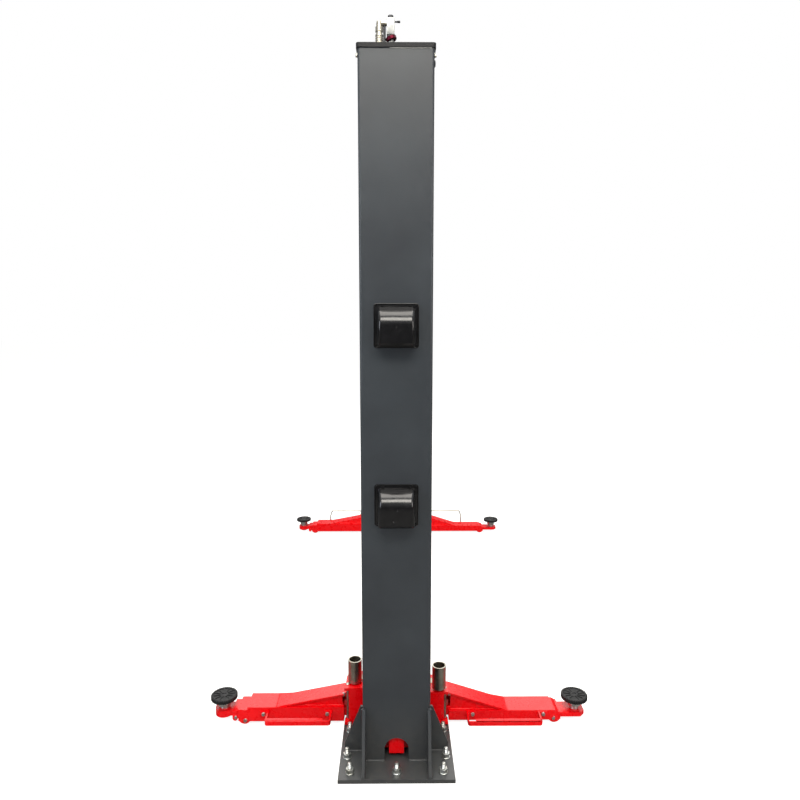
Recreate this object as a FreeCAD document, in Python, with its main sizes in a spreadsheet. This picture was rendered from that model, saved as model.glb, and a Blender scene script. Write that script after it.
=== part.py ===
import FreeCAD, Part
import math
import os
import re
import Sketcher

# Two post car lift, in millimetres. Origin on the floor midway between the columns.
# +X runs from post to post, +Y along the car, +Z up. The near column stands at +X.
# Every piece is drawn on the near side and mirrored in X for the far side.

SIZES = {
    # columns
    "half_span": 1620,
    "total_height": 2826,
    "column_width": 280,
    "column_depth": 220,
    "column_wall": 6,
    "column_lip": 60,
    "column_bend": 10,
    "cap_thick": 16,
    "cap_overhang": 5,
    "cap_corner": 12,
    # base plates and their gussets
    "foot_thick": 16,
    "foot_margin": 29,
    "foot_edge": 45,
    "foot_reach_in": 70,
    "anchor_radius": 11,
    "anchor_out": 68,
    "anchor_stagger": 17,
    "anchor_side_in": 24,
    "anchor_side_step": 172,
    "anchor_side_pitch": 414,
    "fin_thick": 12,
    "fin_height": 234,
    "fin_toe": 12,
    "wing_in": 63,
    "wing_height": 201,
    "wing_reach": 80,
    "wing_toe": 34,
    # arch at the foot of each column's outer face
    "arch_width": 100,
    "arch_top": 117,
    # lock covers
    "cover_high": 1814,
    "cover_low": 1112,
    "cover_width": 173,
    "cover_tall": 168,
    "cover_thick": 5,
    "hood_out": 82,
    "hood_tall": 142,
    "hood_top_width": 140,
    "hood_foot_width": 152,
    "hood_round": 74,
    "hood_bevel": 10,
    # sheave at the column head
    "sheave_drop": 76,
    "sheave_radius": 52,
    "sheave_thick": 26,
    "sheave_groove": 6,
    "axle_radius": 15,
    "axle_spacer": 5,
    # line fittings on the cap
    "fitting_across": -63,
    "fitting_radius": 15,
    "fitting_tall": 99,
    "elbow_radius": 11,
    "manifold_across": -20,
    "manifold_half": 15,
    "manifold_low": 67,
    "manifold_tall": 60,
    "feed_radius": 5,
    "plug_radius": 10,
    "plug_tall": 13,
    "bleed_radius": 3,
    "bleed_drop": 10,
    "union_radius": 22,
    "union_tall": 21,
    "stub_radius": 13,
    # lift cylinder inside the column
    "barrel_radius": 35,
    "barrel_height": 1150,
    "gland_radius": 42,
    "gland_height": 60,
    # carriage
    "arm_line": 318,
    "pin_reach": 175,
    "pin_radius": 20,
    "pin_slack": 0.05,
    "pin_head_wide": 5,
    "pin_head_tall": 3,
    "fork_low": 21,
    "fork_thick": 12,
    "long_fork_gap": 152,
    "short_fork_gap": 132,
    "fork_round": 54,
    "fork_front": 54,
    "fork_back": 88,
    "cheek_reach": 214,
    "slide_gap": 8,
    "slide_wall": 8,
    "slide_slack": 0.3,
    "shoe_tall": 120,
    "shoe_deep": 64,
    "slide_low": 35,
    "slide_top": 850,
    "slide_back": 56,
    "neck_half": 66,
    "neck_top": 640,
    "rack_half": 31,
    "rack_out": 36,
    "rack_pitch": 95,
    "rack_first": 90,
    "rack_deep": 16,
    "rack_window": 50,
    # arm locks
    "gear_radius": 57,
    "gear_thick": 18,
    "gear_low": 60,
    "tooth_deep": 6,
    "tooth_angle": 10,
    "tooth_count": 12,
    "lock_angle": 40,
    "lock_reach": 70,
    "lock_rod_radius": 7,
    "lock_rod_proud": 3,
    "lock_lift": 12,
    "lock_block": 26,
    "lock_slack": 0.8,
    "lock_back": 76,
    # height adapters parked on the carriage
    "long_adapter_in": 282,
    "long_adapter_across": 188,
    "long_adapter_neck": 5,
    "short_adapter_in": 250,
    "short_adapter_across": 192,
    "short_adapter_neck": 13,
    "adapter_radius": 31,
    "adapter_wall": 5,
    "adapter_tall": 105,
    "adapter_neck_radius": 12,
    # arms: root and spine
    "root_gap": 2,
    "root_wall": 8,
    "spine_half": 40,
    "spine_top": 151,
    "spine_lip": 11,
    "spine_flare": 65,
    "boss_radius": 33,
    "box_start": 64,
    "box_low": 18,
    # three stage arms
    "long_half": 56,
    "long_tall": 68,
    "long_slope_start": 40,
    "long_slope_end": 373,
    "long_end": 503,
    "long_collar": 547,
    "long_collar_fall": 14,
    "long_pad": 621,
    "long_pad_low": 97,
    "long_middle_end": 575,
    # two stage arms
    "short_half": 54,
    "short_tall": 47,
    "short_slope_start": 64,
    "short_slope_end": 332,
    "short_end": 544,
    "short_collar": 577,
    "short_collar_fall": 12,
    "short_pad": 651,
    "short_pad_low": 90,
    # what all arm stages share
    "floor_wall": 7,
    "tube_wall": 5,
    "middle_floor": 8,
    "stage_play": 3,
    "stage_seat": 0.3,
    "stage_gap": 5,
    "stage_heel": 45,
    "lobe_radius": 29,
    "lobe_drop": 14,
    "inner_lobe_radius": 11.5,
    "inner_lobe_drop": 4.5,
    # lifting pads
    "holder_radius": 41,
    "holder_low": 26,
    "holder_top": 57,
    "screw_radius": 20,
    "screw_foot": 16,
    "carrier_radius": 29,
    "carrier_tall": 27,
    "pad_radius": 60,
    "pad_thick": 22,
    "pad_seat": 6,
    "pad_rib": 4,
    # foot guards
    "guard_out": 80,
    "long_guard_low": 50,
    "short_guard_low": 43,
    "guard_tall": 20,
    "guard_strip": 6,
    "guard_tab": 34,
    "long_guard_start": 119,
    "long_guard_end": 411,
    "short_guard_start": 144,
    "short_guard_end": 477,
    "rail_radius": 4.5,
    "rail_high": 122,
    "rail_out": 140,
    "rail_in": 52,
    "rail_start": 132,
    "rail_end": 395,
    # cover over the line duct on the floor
    "duct_half": 100,
    "duct_tall": 14,
    "duct_ramp": 30,
    "duct_wall": 4,
}

doc = FreeCAD.newDocument("two_post_lift")
sheet = doc.addObject("Spreadsheet::Sheet", "Sizes")
for row, (alias, number) in enumerate(SIZES.items(), 1):
    sheet.set(f"A{row}", alias)
    sheet.set(f"B{row}", str(number))
    sheet.setAlias(f"B{row}", alias)
doc.recompute()

nodes = []


def formula(text):
    """An expression in plain size names, as the document reads it."""
    return re.sub(r"[a-z_]\w*", lambda word: "Sizes." + word[0] if word[0] in SIZES else word[0], str(text))


def size(text):
    """The present value of such an expression."""
    return float(sheet.evalExpression(formula(text)))


def node(label, item):
    """Gives a finished sub-part its name."""
    item.Label = label
    nodes.append(item)
    return item


def block(name, x, y, z):
    """A box between two planes along each axis."""
    item = doc.addObject("Part::Box", name)
    for side, axis, (low, high) in zip(("Length", "Width", "Height"), "xyz", (x, y, z)):
        item.setExpression(side, formula(f"({high}) - ({low})"))
        item.setExpression(f"Placement.Base.{axis}", formula(low))
    return item


TURNS = {
    "X": FreeCAD.Rotation(FreeCAD.Vector(0, 1, 0), 90),
    "Y": FreeCAD.Rotation(FreeCAD.Vector(1, 0, 0), -90),
    "Z": FreeCAD.Rotation(),
}


def turned(item, axis, x, y, z):
    """Stands a round primitive along an axis, with its first end at a point."""
    item.Placement.Rotation = TURNS[axis]
    for letter, text in zip("xyz", (x, y, z)):
        item.setExpression(f"Placement.Base.{letter}", formula(text))
    return item


def rod(name, radius, length, x, y, z, axis="Z"):
    """A cylinder along an axis."""
    item = doc.addObject("Part::Cylinder", name)
    item.setExpression("Radius", formula(radius))
    item.setExpression("Height", formula(length))
    return turned(item, axis, x, y, z)


def cone(name, first, last, length, x, y, z, axis="Z"):
    """A cone frustum along an axis."""
    item = doc.addObject("Part::Cone", name)
    item.setExpression("Radius1", formula(first))
    item.setExpression("Radius2", formula(last))
    item.setExpression("Height", formula(length))
    return turned(item, axis, x, y, z)


def fused(name, *pieces):
    """One solid from pieces that meet."""
    item = doc.addObject("Part::MultiFuse", name)
    item.Shapes = list(pieces)
    item.Refine = True
    return item


def cut(name, base, *tools):
    """A piece with other pieces taken out of it."""
    item = doc.addObject("Part::Cut", name)
    item.Base = base
    item.Tool = tools[0] if len(tools) == 1 else fused(name + "_tools", *tools)
    item.Refine = True
    return item


def common(name, first, last):
    """What two pieces share."""
    item = doc.addObject("Part::Common", name)
    item.Base = first
    item.Tool = last
    return item


def group(name, *pieces):
    """Like solids that don't touch, kept as one sub-part."""
    item = doc.addObject("Part::Compound", name)
    item.Links = list(pieces)
    return item


def mirrored(name, source, normal):
    """The same piece on the other side of the middle."""
    item = doc.addObject("Part::Mirroring", name)
    item.Source = source
    item.Normal = FreeCAD.Vector(*normal)
    return item


ACROSS = (0, 1, 0)
OVER = (1, 0, 0)


def near_and_far(label, piece):
    """Names the near piece and makes the far one from it."""
    node("near_" + label, piece)
    doc.recompute()
    node("far_" + label, mirrored("far_" + label, piece, OVER))


def new_body(name):
    return doc.addObject("PartDesign::Body", name)


def outline(body, name, plane, points, offset="0"):
    """A closed sketch on one of the body's origin planes, each corner tied to the sizes."""
    sketch = body.newObject("Sketcher::SketchObject", name)
    origin = [item for item in body.Origin.OriginFeatures if item.Role == plane + "_Plane"][0]
    sketch.AttachmentSupport = [(origin, "")]
    sketch.MapMode = "FlatFace"
    sketch.setExpression("AttachmentOffset.Base.z", formula(offset))
    corners = [FreeCAD.Vector(size(across), size(up), 0) for across, up in points]
    for index, corner in enumerate(corners):
        sketch.addGeometry(Part.LineSegment(corner, corners[(index + 1) % len(corners)]), False)
    for index in range(len(corners)):
        following = (index + 1) % len(corners)
        sketch.addConstraint(Sketcher.Constraint("Coincident", index, 2, following, 1))
    for index, (corner, texts) in enumerate(zip(corners, points)):
        for kind, value, text in zip(("DistanceX", "DistanceY"), corner, texts):
            number = sketch.addConstraint(Sketcher.Constraint(kind, -1, 1, index, 1, value))
            sketch.setExpression(f"Constraints[{number}]", formula(text))
    return sketch


def pad(body, name, sketch, length, middle=False):
    """Raises a sketch into a solid."""
    item = body.newObject("PartDesign::Pad", name)
    item.Profile = sketch
    item.setExpression("Length", formula(length))
    item.Midplane = middle
    return item


def prism(name, plane, points, low, high):
    """A body padded from one outline, between two planes along its normal."""
    body = new_body(name)
    start = f"-({high})" if plane == "XZ" else low
    pad(body, name + "_pad", outline(body, name + "_outline", plane, points, start), f"({high}) - ({low})")
    return body


def upright(edge):
    return abs(edge.tangentAt(edge.FirstParameter).z) > 0.999


def along_x(edge):
    return edge.Curve.TypeId == "Part::GeomLine" and abs(edge.tangentAt(edge.FirstParameter).x) > 0.999


def along_y(edge):
    return edge.Curve.TypeId == "Part::GeomLine" and abs(edge.tangentAt(edge.FirstParameter).y) > 0.999


def soften(body, name, radius, wanted):
    """Rounds the edges of a body that pass a test."""
    doc.recompute()
    tip = body.Tip
    found = [f"Edge{index}" for index, edge in enumerate(tip.Shape.Edges, 1) if wanted(edge)]
    item = body.newObject("PartDesign::Fillet", name)
    item.Base = (tip, found)
    item.setExpression("Radius", formula(radius))
    return body


# Base plates: flame-cut plate, with welded gussets outside the column and at its sides
FACE = "half_span"
MOUTH = "half_span - column_depth"
SIDE = "column_width / 2"
SIDE_ROW = f"{FACE} - anchor_side_in"
FOOT_EDGE = f"{FACE} + anchor_out + foot_edge"
FOOT_HALF = "anchor_side_pitch / 2 + foot_margin"


def anchor_hole(name, x, y):
    return rod(name, "anchor_radius", "foot_thick + 2", x, y, "-1")


def base_plate():
    plate = block(
        "plate",
        (f"{MOUTH} - foot_reach_in", FOOT_EDGE),
        (f"-({FOOT_HALF})", FOOT_HALF),
        ("0", "foot_thick"),
    )
    places = [(f"{FACE} + anchor_out", "0")]
    for sign in "-+":
        places.append((f"{FACE} + anchor_out", f"{sign}(anchor_side_pitch / 2 - anchor_stagger)"))
        places.append((SIDE_ROW, f"{sign}anchor_side_pitch / 2"))
        places.append((f"{SIDE_ROW} - anchor_side_step", f"{sign}anchor_side_pitch / 2"))
    holes = [anchor_hole(f"anchor_{index}", x, y) for index, (x, y) in enumerate(places)]
    fin = prism(
        "fin",
        "XZ",
        [
            (FACE, "foot_thick"),
            (FOOT_EDGE, "foot_thick"),
            (FOOT_EDGE, "foot_thick + fin_toe"),
            (f"{FACE} + fin_toe", "foot_thick + fin_height"),
            (FACE, "foot_thick + fin_height"),
        ],
        f"{SIDE} - fin_thick",
        SIDE,
    )
    wing = prism(
        "wing",
        "YZ",
        [
            (SIDE, "foot_thick"),
            (f"{SIDE} + wing_reach", "foot_thick"),
            (f"{SIDE} + wing_reach", "foot_thick + wing_toe"),
            (f"{SIDE} + fin_toe", "foot_thick + wing_height"),
            (SIDE, "foot_thick + wing_height"),
        ],
        f"{FACE} - wing_in - fin_thick",
        f"{FACE} - wing_in",
    )
    gussets = [fin, mirrored("fin_twin", fin, ACROSS), wing, mirrored("wing_twin", wing, ACROSS)]
    return cut("near_base", fused("near_base_welded", plate, *gussets), *holes)


# Columns: one sheet folded to a C, open to the inside, with an arch at the foot for the lines
COLUMN_TOP = "total_height - cap_thick"
AXLE_X = f"{FACE} - column_depth / 2"
AXLE_Z = "total_height - sheave_drop"


def column():
    half = "column_width / 2"
    inner = "(column_width / 2 - column_wall)"
    lip = "(column_width / 2 - column_lip)"
    right = [
        (FACE, half),
        (MOUTH, half),
        (MOUTH, lip),
        (f"{MOUTH} + column_wall", lip),
        (f"{MOUTH} + column_wall", inner),
        (f"{FACE} - column_wall", inner),
    ]
    left = [(x, f"-{y}" if y.startswith("(") else f"-({y})") for x, y in reversed(right)]
    body = prism("column_sheet", "XY", right + left, "foot_thick", COLUMN_TOP)
    reach = size(half)
    faces = (size(FACE), size(MOUTH))

    def outer_bend(edge):
        point = edge.Vertexes[0].Point
        return upright(edge) and abs(abs(point.y) - reach) < 0.01 and min(abs(point.x - x) for x in faces) < 0.01

    soften(body, "column_bends", "column_bend", outer_bend)
    crown = "arch_top - arch_width / 2"
    depth = (f"{FACE} - 2 * column_wall", f"{FACE} + column_wall")
    doorway = block("arch_legs", depth, ("-arch_width / 2", "arch_width / 2"), ("0", crown))
    vault = rod("arch_vault", "arch_width / 2", "3 * column_wall", depth[0], "0", crown, "X")
    axle_hole = rod("axle_hole", "axle_radius", "column_width + 2", AXLE_X, "-column_width / 2 - 1", AXLE_Z, "Y")
    return cut("near_column", body, doorway, vault, axle_hole)


def cap():
    across = "column_width / 2 + cap_overhang"
    body = prism(
        "near_cap",
        "XY",
        [
            (f"{MOUTH} - cap_overhang", f"-({across})"),
            (f"{FACE} + cap_overhang", f"-({across})"),
            (f"{FACE} + cap_overhang", across),
            (f"{MOUTH} - cap_overhang", across),
        ],
        COLUMN_TOP,
        "total_height",
    )
    return soften(body, "cap_corners", "cap_corner", upright)


# Lock covers: moulded black hoods over the two safety latches
def lock_cover(name, centre):
    half_wide, half_tall = "cover_width / 2", "cover_tall / 2"
    flange = prism(
        name + "_flange",
        "YZ",
        [
            (f"-{half_wide}", f"{centre} - {half_tall}"),
            (half_wide, f"{centre} - {half_tall}"),
            (half_wide, f"{centre} + {half_tall}"),
            (f"-{half_wide}", f"{centre} + {half_tall}"),
        ],
        FACE,
        f"{FACE} + cover_thick",
    )
    soften(flange, name + "_flange_corners", "2 * cover_thick", along_x)
    out = f"{FACE} + hood_out"
    low, high = f"{centre} - hood_tall / 2", f"{centre} + hood_tall / 2"
    barrel = prism(
        name + "_barrel",
        "XZ",
        [(FACE, high), (out, high), (out, f"{low} + hood_bevel"), (f"{out} - hood_bevel", low), (FACE, low)],
        "-hood_foot_width / 2",
        "hood_foot_width / 2",
    )
    top, front = size(high), size(out)

    def shoulder(edge):
        point = edge.Vertexes[0].Point
        return along_y(edge) and abs(point.z - top) < 0.01 and abs(point.x - front) < 0.01

    soften(barrel, name + "_shoulder", "hood_round", shoulder)
    taper = prism(
        name + "_taper",
        "YZ",
        [
            ("-hood_foot_width / 2", low),
            ("hood_foot_width / 2", low),
            ("hood_top_width / 2", high),
            ("-hood_top_width / 2", high),
        ],
        FACE,
        out,
    )
    return fused(name, flange, common(name + "_hood", barrel, taper))


# Sheave on its axle at the column head, the axle's ends flush with the column's sides
def head_sheave():
    half = "sheave_thick / 2"
    rim = "(sheave_radius - sheave_groove)"
    first = cone("sheave_first", "sheave_radius", rim, half, AXLE_X, f"-{half}", AXLE_Z, "Y")
    last = cone("sheave_last", rim, "sheave_radius", half, AXLE_X, "0", AXLE_Z, "Y")
    axle = rod("axle", "axle_radius", "column_width", AXLE_X, "-column_width / 2", AXLE_Z, "Y")
    spacer_length = f"column_width / 2 - column_wall - {half}"
    spacer = rod("spacer", "axle_radius + axle_spacer", spacer_length, AXLE_X, half, AXLE_Z, "Y")
    return fused("near_sheave", first, last, axle, spacer, mirrored("spacer_twin", spacer, ACROSS))


# Line fittings on the cap: a zinc ferrule and elbow feed a small valve block
def line_fittings():
    base = "total_height"
    elbow_z = f"{base} + fitting_tall + elbow_radius"
    block_y = ("manifold_across - manifold_half", "manifold_across + manifold_half")
    block_z = f"{base} + manifold_low"
    block_top = f"{block_z} + manifold_tall"
    reach = "manifold_across - manifold_half - fitting_across"
    feed_y = "fitting_across + fitting_radius + feed_radius"
    pieces = [
        rod("ferrule", "fitting_radius", "fitting_tall", AXLE_X, "fitting_across", base),
        rod("elbow_up", "elbow_radius", "2 * elbow_radius", AXLE_X, "fitting_across", f"{base} + fitting_tall"),
        rod("elbow_out", "elbow_radius - 2", reach, AXLE_X, "fitting_across", elbow_z, "Y"),
        rod("feed_line", "feed_radius", "fitting_tall + elbow_radius", AXLE_X, feed_y, base),
        block(
            "manifold",
            (f"{AXLE_X} - manifold_half", f"{AXLE_X} + manifold_half"),
            block_y,
            (block_z, block_top),
        ),
        rod("manifold_plug", "plug_radius", "plug_tall", AXLE_X, "manifold_across", block_top),
        rod("bleed_pin", "bleed_radius", "union_tall", AXLE_X, block_y[1], f"{block_top} - bleed_drop", "Y"),
        rod("union_ring", "union_radius", "union_tall", AXLE_X, "manifold_across", f"{block_z} - union_tall"),
        rod("union_stub", "stub_radius", "manifold_low - union_tall", AXLE_X, "manifold_across", base),
    ]
    return fused("near_fittings", *pieces)


# Lift cylinder standing inside the column
BARREL_X = f"{FACE} - (column_depth - column_wall - slide_gap + slide_back) / 2"


def lift_cylinder():
    barrel = rod("barrel", "barrel_radius", "barrel_height", BARREL_X, "0", "foot_thick")
    gland = rod("gland", "gland_radius", "gland_height", BARREL_X, "0", "foot_thick + barrel_height")
    shoe = rod("barrel_shoe", "gland_radius", "fin_thick", BARREL_X, "0", "foot_thick")
    return fused("near_lift_cylinder", barrel, gland, shoe)


# Cover over the lines that cross the floor between the base plates
def floor_cover():
    end = f"{MOUTH} - foot_reach_in"
    body = prism(
        "floor_duct",
        "YZ",
        [
            ("-duct_half", "0"),
            ("-(duct_half - duct_ramp)", "duct_tall"),
            ("duct_half - duct_ramp", "duct_tall"),
            ("duct_half", "0"),
            ("duct_half - 3 * duct_wall", "0"),
            ("duct_half - duct_ramp - duct_wall", "duct_tall - duct_wall"),
            ("-(duct_half - duct_ramp - duct_wall)", "duct_tall - duct_wall"),
            ("-(duct_half - 3 * duct_wall)", "0"),
        ],
        f"-({end})",
        end,
    )
    return body


near_and_far("base_plate", base_plate())
near_and_far("column", column())
near_and_far("cap", cap())
upper_cover, lower_cover = lock_cover("upper_cover", "cover_high"), lock_cover("lower_cover", "cover_low")
near_and_far("lock_covers", group("near_covers", upper_cover, lower_cover))
near_and_far("head_sheave", head_sheave())
near_and_far("line_fittings", line_fittings())
near_and_far("lift_cylinder", lift_cylinder())
node("floor_cover", floor_cover())


# Carriage: a post of folded plate that slides in the column, with a forked beam for the arms
PIN_X = f"({FACE} - arm_line)"
BEAM_FRONT = f"{PIN_X} - fork_front"
BEAM_BACK = f"{PIN_X} + fork_back"
FORK_LIP = "(fork_low + fork_thick)"
ROD_X = f"{PIN_X} + lock_reach * cos(lock_angle * 1deg)"
ROD_Y = "pin_reach + lock_reach * sin(lock_angle * 1deg)"


def fork_roof(kind):
    """Underside of the fork's upper plate, which is higher over the three stage arm."""
    return f"(fork_low + fork_thick + {kind}_fork_gap)"


def beam_top(kind):
    return f"(fork_low + 2 * fork_thick + {kind}_fork_gap)"


def left_and_right(name, make):
    """A piece for the two stage arm at +Y, and its taller twin for the three stage arm at -Y."""
    return group(name, make("short"), mirrored(name + "_twin", make("long"), ACROSS))


def fork_plate(name, low, halved=False):
    tip = "pin_reach + fork_round"
    shoulder = f"{ROD_Y} + 2 * lock_rod_radius"
    half = [
        (BEAM_BACK, shoulder),
        (f"{PIN_X} + 0.6 * fork_round", tip),
        (BEAM_FRONT, tip),
    ]
    other = [(x, f"-({y})") for x, y in reversed(half)]
    if halved:
        other = [(BEAM_FRONT, "0"), (BEAM_BACK, "0")]
    body = prism(name, "XY", half + other, low, f"{low} + fork_thick")
    front = size(BEAM_FRONT)

    def nose(edge):
        point = edge.Vertexes[0].Point
        return upright(edge) and abs(point.x - front) < 0.01 and abs(point.y) > 0.01

    return soften(body, name + "_noses", "fork_round - 2", nose)


def rack():
    """The latch ladder on the carriage's back, with a notch for each latch step."""
    back = f"{FACE} - slide_back"
    out = f"{back} + rack_out"
    count = int((size("slide_top") - size("rack_first") - size("slide_low")) // size("rack_pitch"))
    points = [(back, "slide_low"), (out, "slide_low")]
    for step in range(count):
        foot = f"slide_low + rack_first + {step} * rack_pitch"
        points.append((out, foot))
        points.append((f"{out} - rack_deep", foot))
        points.append((f"{out} - rack_deep", f"{foot} + rack_window - rack_deep"))
        points.append((out, f"{foot} + rack_window"))
    points.extend([(out, "slide_top"), (back, "slide_top")])
    return prism("rack", "XZ", points, "-rack_half", "rack_half")


def fork_side(kind):
    """One side of the forked beam, drawn at +Y: upper plate, cheek, front plate, rib and brace."""
    roof, top = fork_roof(kind), beam_top(kind)
    between = (FORK_LIP, roof)
    rib_out = "(pin_reach - gear_radius - fork_thick)"
    beam_x = (f"{BEAM_FRONT} + fork_thick", f"{BEAM_BACK} - fork_thick")
    brace = prism(
        f"{kind}_brace",
        "XZ",
        [
            (f"{BEAM_BACK} - fork_thick", top),
            (f"{BEAM_BACK} - fork_thick", "neck_top - 2 * slide_low"),
            (f"{BEAM_FRONT} + 2 * fork_thick", f"{top} + fork_thick"),
            (f"{BEAM_FRONT} + 2 * fork_thick", top),
        ],
        "neck_half - fork_thick",
        "neck_half",
    )
    return fused(
        f"{kind}_fork",
        fork_plate(f"{kind}_fork_roof", roof, halved=True),
        block(f"{kind}_cheek", (f"{BEAM_BACK} - fork_thick", BEAM_BACK), ("0", "cheek_reach"), between),
        block(f"{kind}_beam_front", (BEAM_FRONT, f"{BEAM_FRONT} + fork_thick"), ("0", rib_out), between),
        block(f"{kind}_beam_rib", beam_x, (f"{rib_out} - fork_thick", rib_out), between),
        brace,
    )


def carriage():
    post_front = f"{MOUTH} + column_wall + slide_gap"
    post_half = "(column_width / 2 - column_wall - slide_gap)"
    post_x = (post_front, f"{FACE} - slide_back")
    height = ("slide_low", "slide_top")
    post = block("post", post_x, (f"-{post_half}", post_half), height)
    neck = block("neck", (f"{BEAM_BACK} - fork_thick", post_front), ("-neck_half", "neck_half"), (FORK_LIP, "neck_top"))
    welded = fused(
        "carriage_welded",
        post,
        neck,
        rack(),
        fork_plate("fork_floor", "fork_low"),
        fork_side("short"),
        mirrored("long_fork_twin", fork_side("long"), ACROSS),
    )
    hollow_half = f"({post_half} - slide_wall)"
    hollow_x = (f"{post_front} + slide_wall", f"{FACE} - slide_back - slide_wall")
    tall = ("slide_low - 1", "slide_top + 1")
    hollow = block("post_hollow", hollow_x, (f"-{hollow_half}", hollow_half), tall)
    holes = [hollow]
    for sign in "-+":
        side = "right" if sign == "+" else "left"
        pin_bore, rod_bore = "pin_radius + pin_slack", "lock_rod_radius + pin_slack"
        holes.append(rod(f"pin_bore_{side}", pin_bore, "2 * long_fork_gap", PIN_X, f"{sign}pin_reach", "0"))
        holes.append(rod(f"rod_bore_{side}", rod_bore, "2 * long_fork_gap", ROD_X, f"{sign}({ROD_Y})", "0"))
    return cut("near_carriage", welded, *holes)


def slide_shoe(name, low):
    """An L of nylon on the post's corner that runs on the column's lip and side."""
    front = f"{MOUTH} + column_wall + slide_slack"
    post_half = "(column_width / 2 - column_wall - slide_gap)"
    side = "column_width / 2 - column_wall - slide_slack"
    height = (low, f"{low} + shoe_tall")
    cheek = block(name + "_cheek", (front, f"{front} + shoe_deep"), (post_half, side), height)
    face = block(
        name + "_face",
        (front, f"{MOUTH} + column_wall + slide_gap"),
        ("column_width / 2 - column_lip + slide_gap", side),
        height,
    )
    return fused(name, cheek, face)


def slide_shoes():
    low = slide_shoe("low_shoe", "slide_low")
    high = slide_shoe("high_shoe", "slide_top - shoe_tall")
    twins = [mirrored("low_shoe_twin", low, ACROSS), mirrored("high_shoe_twin", high, ACROSS)]
    return group("shoes", low, high, *twins)


def pivot_pin(kind):
    top = beam_top(kind)
    shank = rod(f"{kind}_pin_shank", "pin_radius", f"{top} - fork_low", PIN_X, "pin_reach", "fork_low")
    head = rod(f"{kind}_pin_head", "pin_radius + pin_head_wide", "pin_head_tall", PIN_X, "pin_reach", top)
    return fused(f"{kind}_pin", shank, head)


# Height adapters: turned zinc cups that lift the pads for tall cars, parked on the beam
def adapter(kind):
    x, y = f"{FACE} - {kind}_adapter_in", f"{kind}_adapter_across"
    neck_tall = f"{kind}_adapter_neck"
    cup_z = f"{beam_top(kind)} + {neck_tall}"
    neck = rod(f"{kind}_adapter_foot", "adapter_neck_radius", neck_tall, x, y, beam_top(kind))
    cup = rod(f"{kind}_adapter_cup", "adapter_radius", "adapter_tall", x, y, cup_z)
    floor = f"{cup_z} + 2 * adapter_wall"
    hollow = rod(f"{kind}_adapter_hollow", "adapter_radius - adapter_wall", "adapter_tall", x, y, floor)
    return cut(f"{kind}_adapter", fused(f"{kind}_adapter_turned", neck, cup), hollow)


# Arm locks: a toothed block on a sprung rod drops into the arm's toothed root
def polar(reach, degrees):
    """A point about the pivot, in plan."""
    return FreeCAD.Vector(reach * math.cos(math.radians(degrees)), reach * math.sin(math.radians(degrees)), 0)


def plan_solid(name, points, low, thick):
    """A flat solid about the near right pivot, from its corners in plan."""
    item = doc.addObject("Part::Feature", name)
    face = Part.Face(Part.makePolygon(points + points[:1]))
    item.Shape = face.extrude(FreeCAD.Vector(0, 0, size(thick)))
    item.Placement.Base = FreeCAD.Vector(size(PIN_X), size("pin_reach"), size(low))
    return item


def tooth_points(angles, valley, crest):
    """One trapezoid tooth at each angle, valley to valley."""
    step = size("tooth_angle")
    points = []
    for angle in angles:
        for reach, share in ((valley, -0.38), (crest, -0.16), (crest, 0.16), (valley, 0.38)):
            points.append(polar(reach, angle + share * step))
    return points


def root_gear(kind):
    step = size("tooth_angle")
    first = size("lock_angle") + 1.5 * step
    count = int(size("tooth_count"))
    angles = [first - index * step for index in reversed(range(count))]
    crest = size("gear_radius")
    teeth = tooth_points(angles, crest - size("tooth_deep"), crest)
    return plan_solid(f"{kind}_root_gear", [FreeCAD.Vector()] + teeth, "gear_low", "gear_thick")


def lock_bolt(kind):
    step = size("tooth_angle")
    middle = size("lock_angle")
    crest = size("gear_radius - tooth_deep + lock_slack")
    valley = size("gear_radius + lock_slack")
    inner = tooth_points([middle - step, middle, middle + step], valley, crest)
    back = size("lock_back")
    outer = [polar(back, middle + turn * step) for turn in (1.38, 0.7, 0, -0.7, -1.38)]
    low = "gear_low + gear_thick + lock_lift"
    block_piece = plan_solid(f"{kind}_lock_teeth", inner + outer, low, "lock_block")
    tall = f"{beam_top(kind)} - fork_low + lock_rod_proud"
    shaft = rod(f"{kind}_lock_rod", "lock_rod_radius", tall, ROD_X, ROD_Y, "fork_low")
    return fused(f"{kind}_lock_bolt", block_piece, shaft)


near_and_far("carriage", carriage())
near_and_far("slide_shoes", slide_shoes())
near_and_far("pivot_pins", left_and_right("near_pins", pivot_pin))
near_and_far("height_adapters", left_and_right("near_adapters", adapter))
near_and_far("arm_locks", left_and_right("near_locks", lock_bolt))


# Arms: welded box tubes that telescope, with a raised spine down to the pivot
ROOT_LOW = f"({FORK_LIP} + root_gap)"


def along(reach):
    """A distance from the pivot, along an arm that points straight out."""
    return f"pin_reach + {reach}"


def across(half):
    return (f"{PIN_X} - ({half})", f"{PIN_X} + ({half})")


def lobes(name, half, end, radius, low):
    """The round cheeks that carry a stage's stop bolt below the tube's end."""
    return rod(name, radius, f"2 * ({half})", across(half)[0], f"{along(end)} - {radius}", f"{low} + {radius}", "X")


def first_run(kind):
    """Half width, floor and roof of the way through an outer arm's collar."""
    half = f"({kind}_half - stage_play - tube_wall)"
    return half, "(box_low + floor_wall)", f"(box_low + {kind}_tall - {kind}_collar_fall - tube_wall)"


def stage_in(run):
    """Half width, floor and roof of the stage that rests in such a room."""
    half, low, top = run
    return f"({half} - stage_play)", f"({low} + stage_seat)", f"({top} - stage_play)"


def run_in(section):
    """The room inside a stage."""
    half, low, top = section
    return f"({half} - tube_wall)", f"({low} + tube_wall)", f"({top} - tube_wall)"


def tube_block(name, section, start, end):
    """A box of one section between two distances from the pivot."""
    half, low, top = section
    return block(name, across(half), (along(start), along(end)), (low, top))


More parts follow.
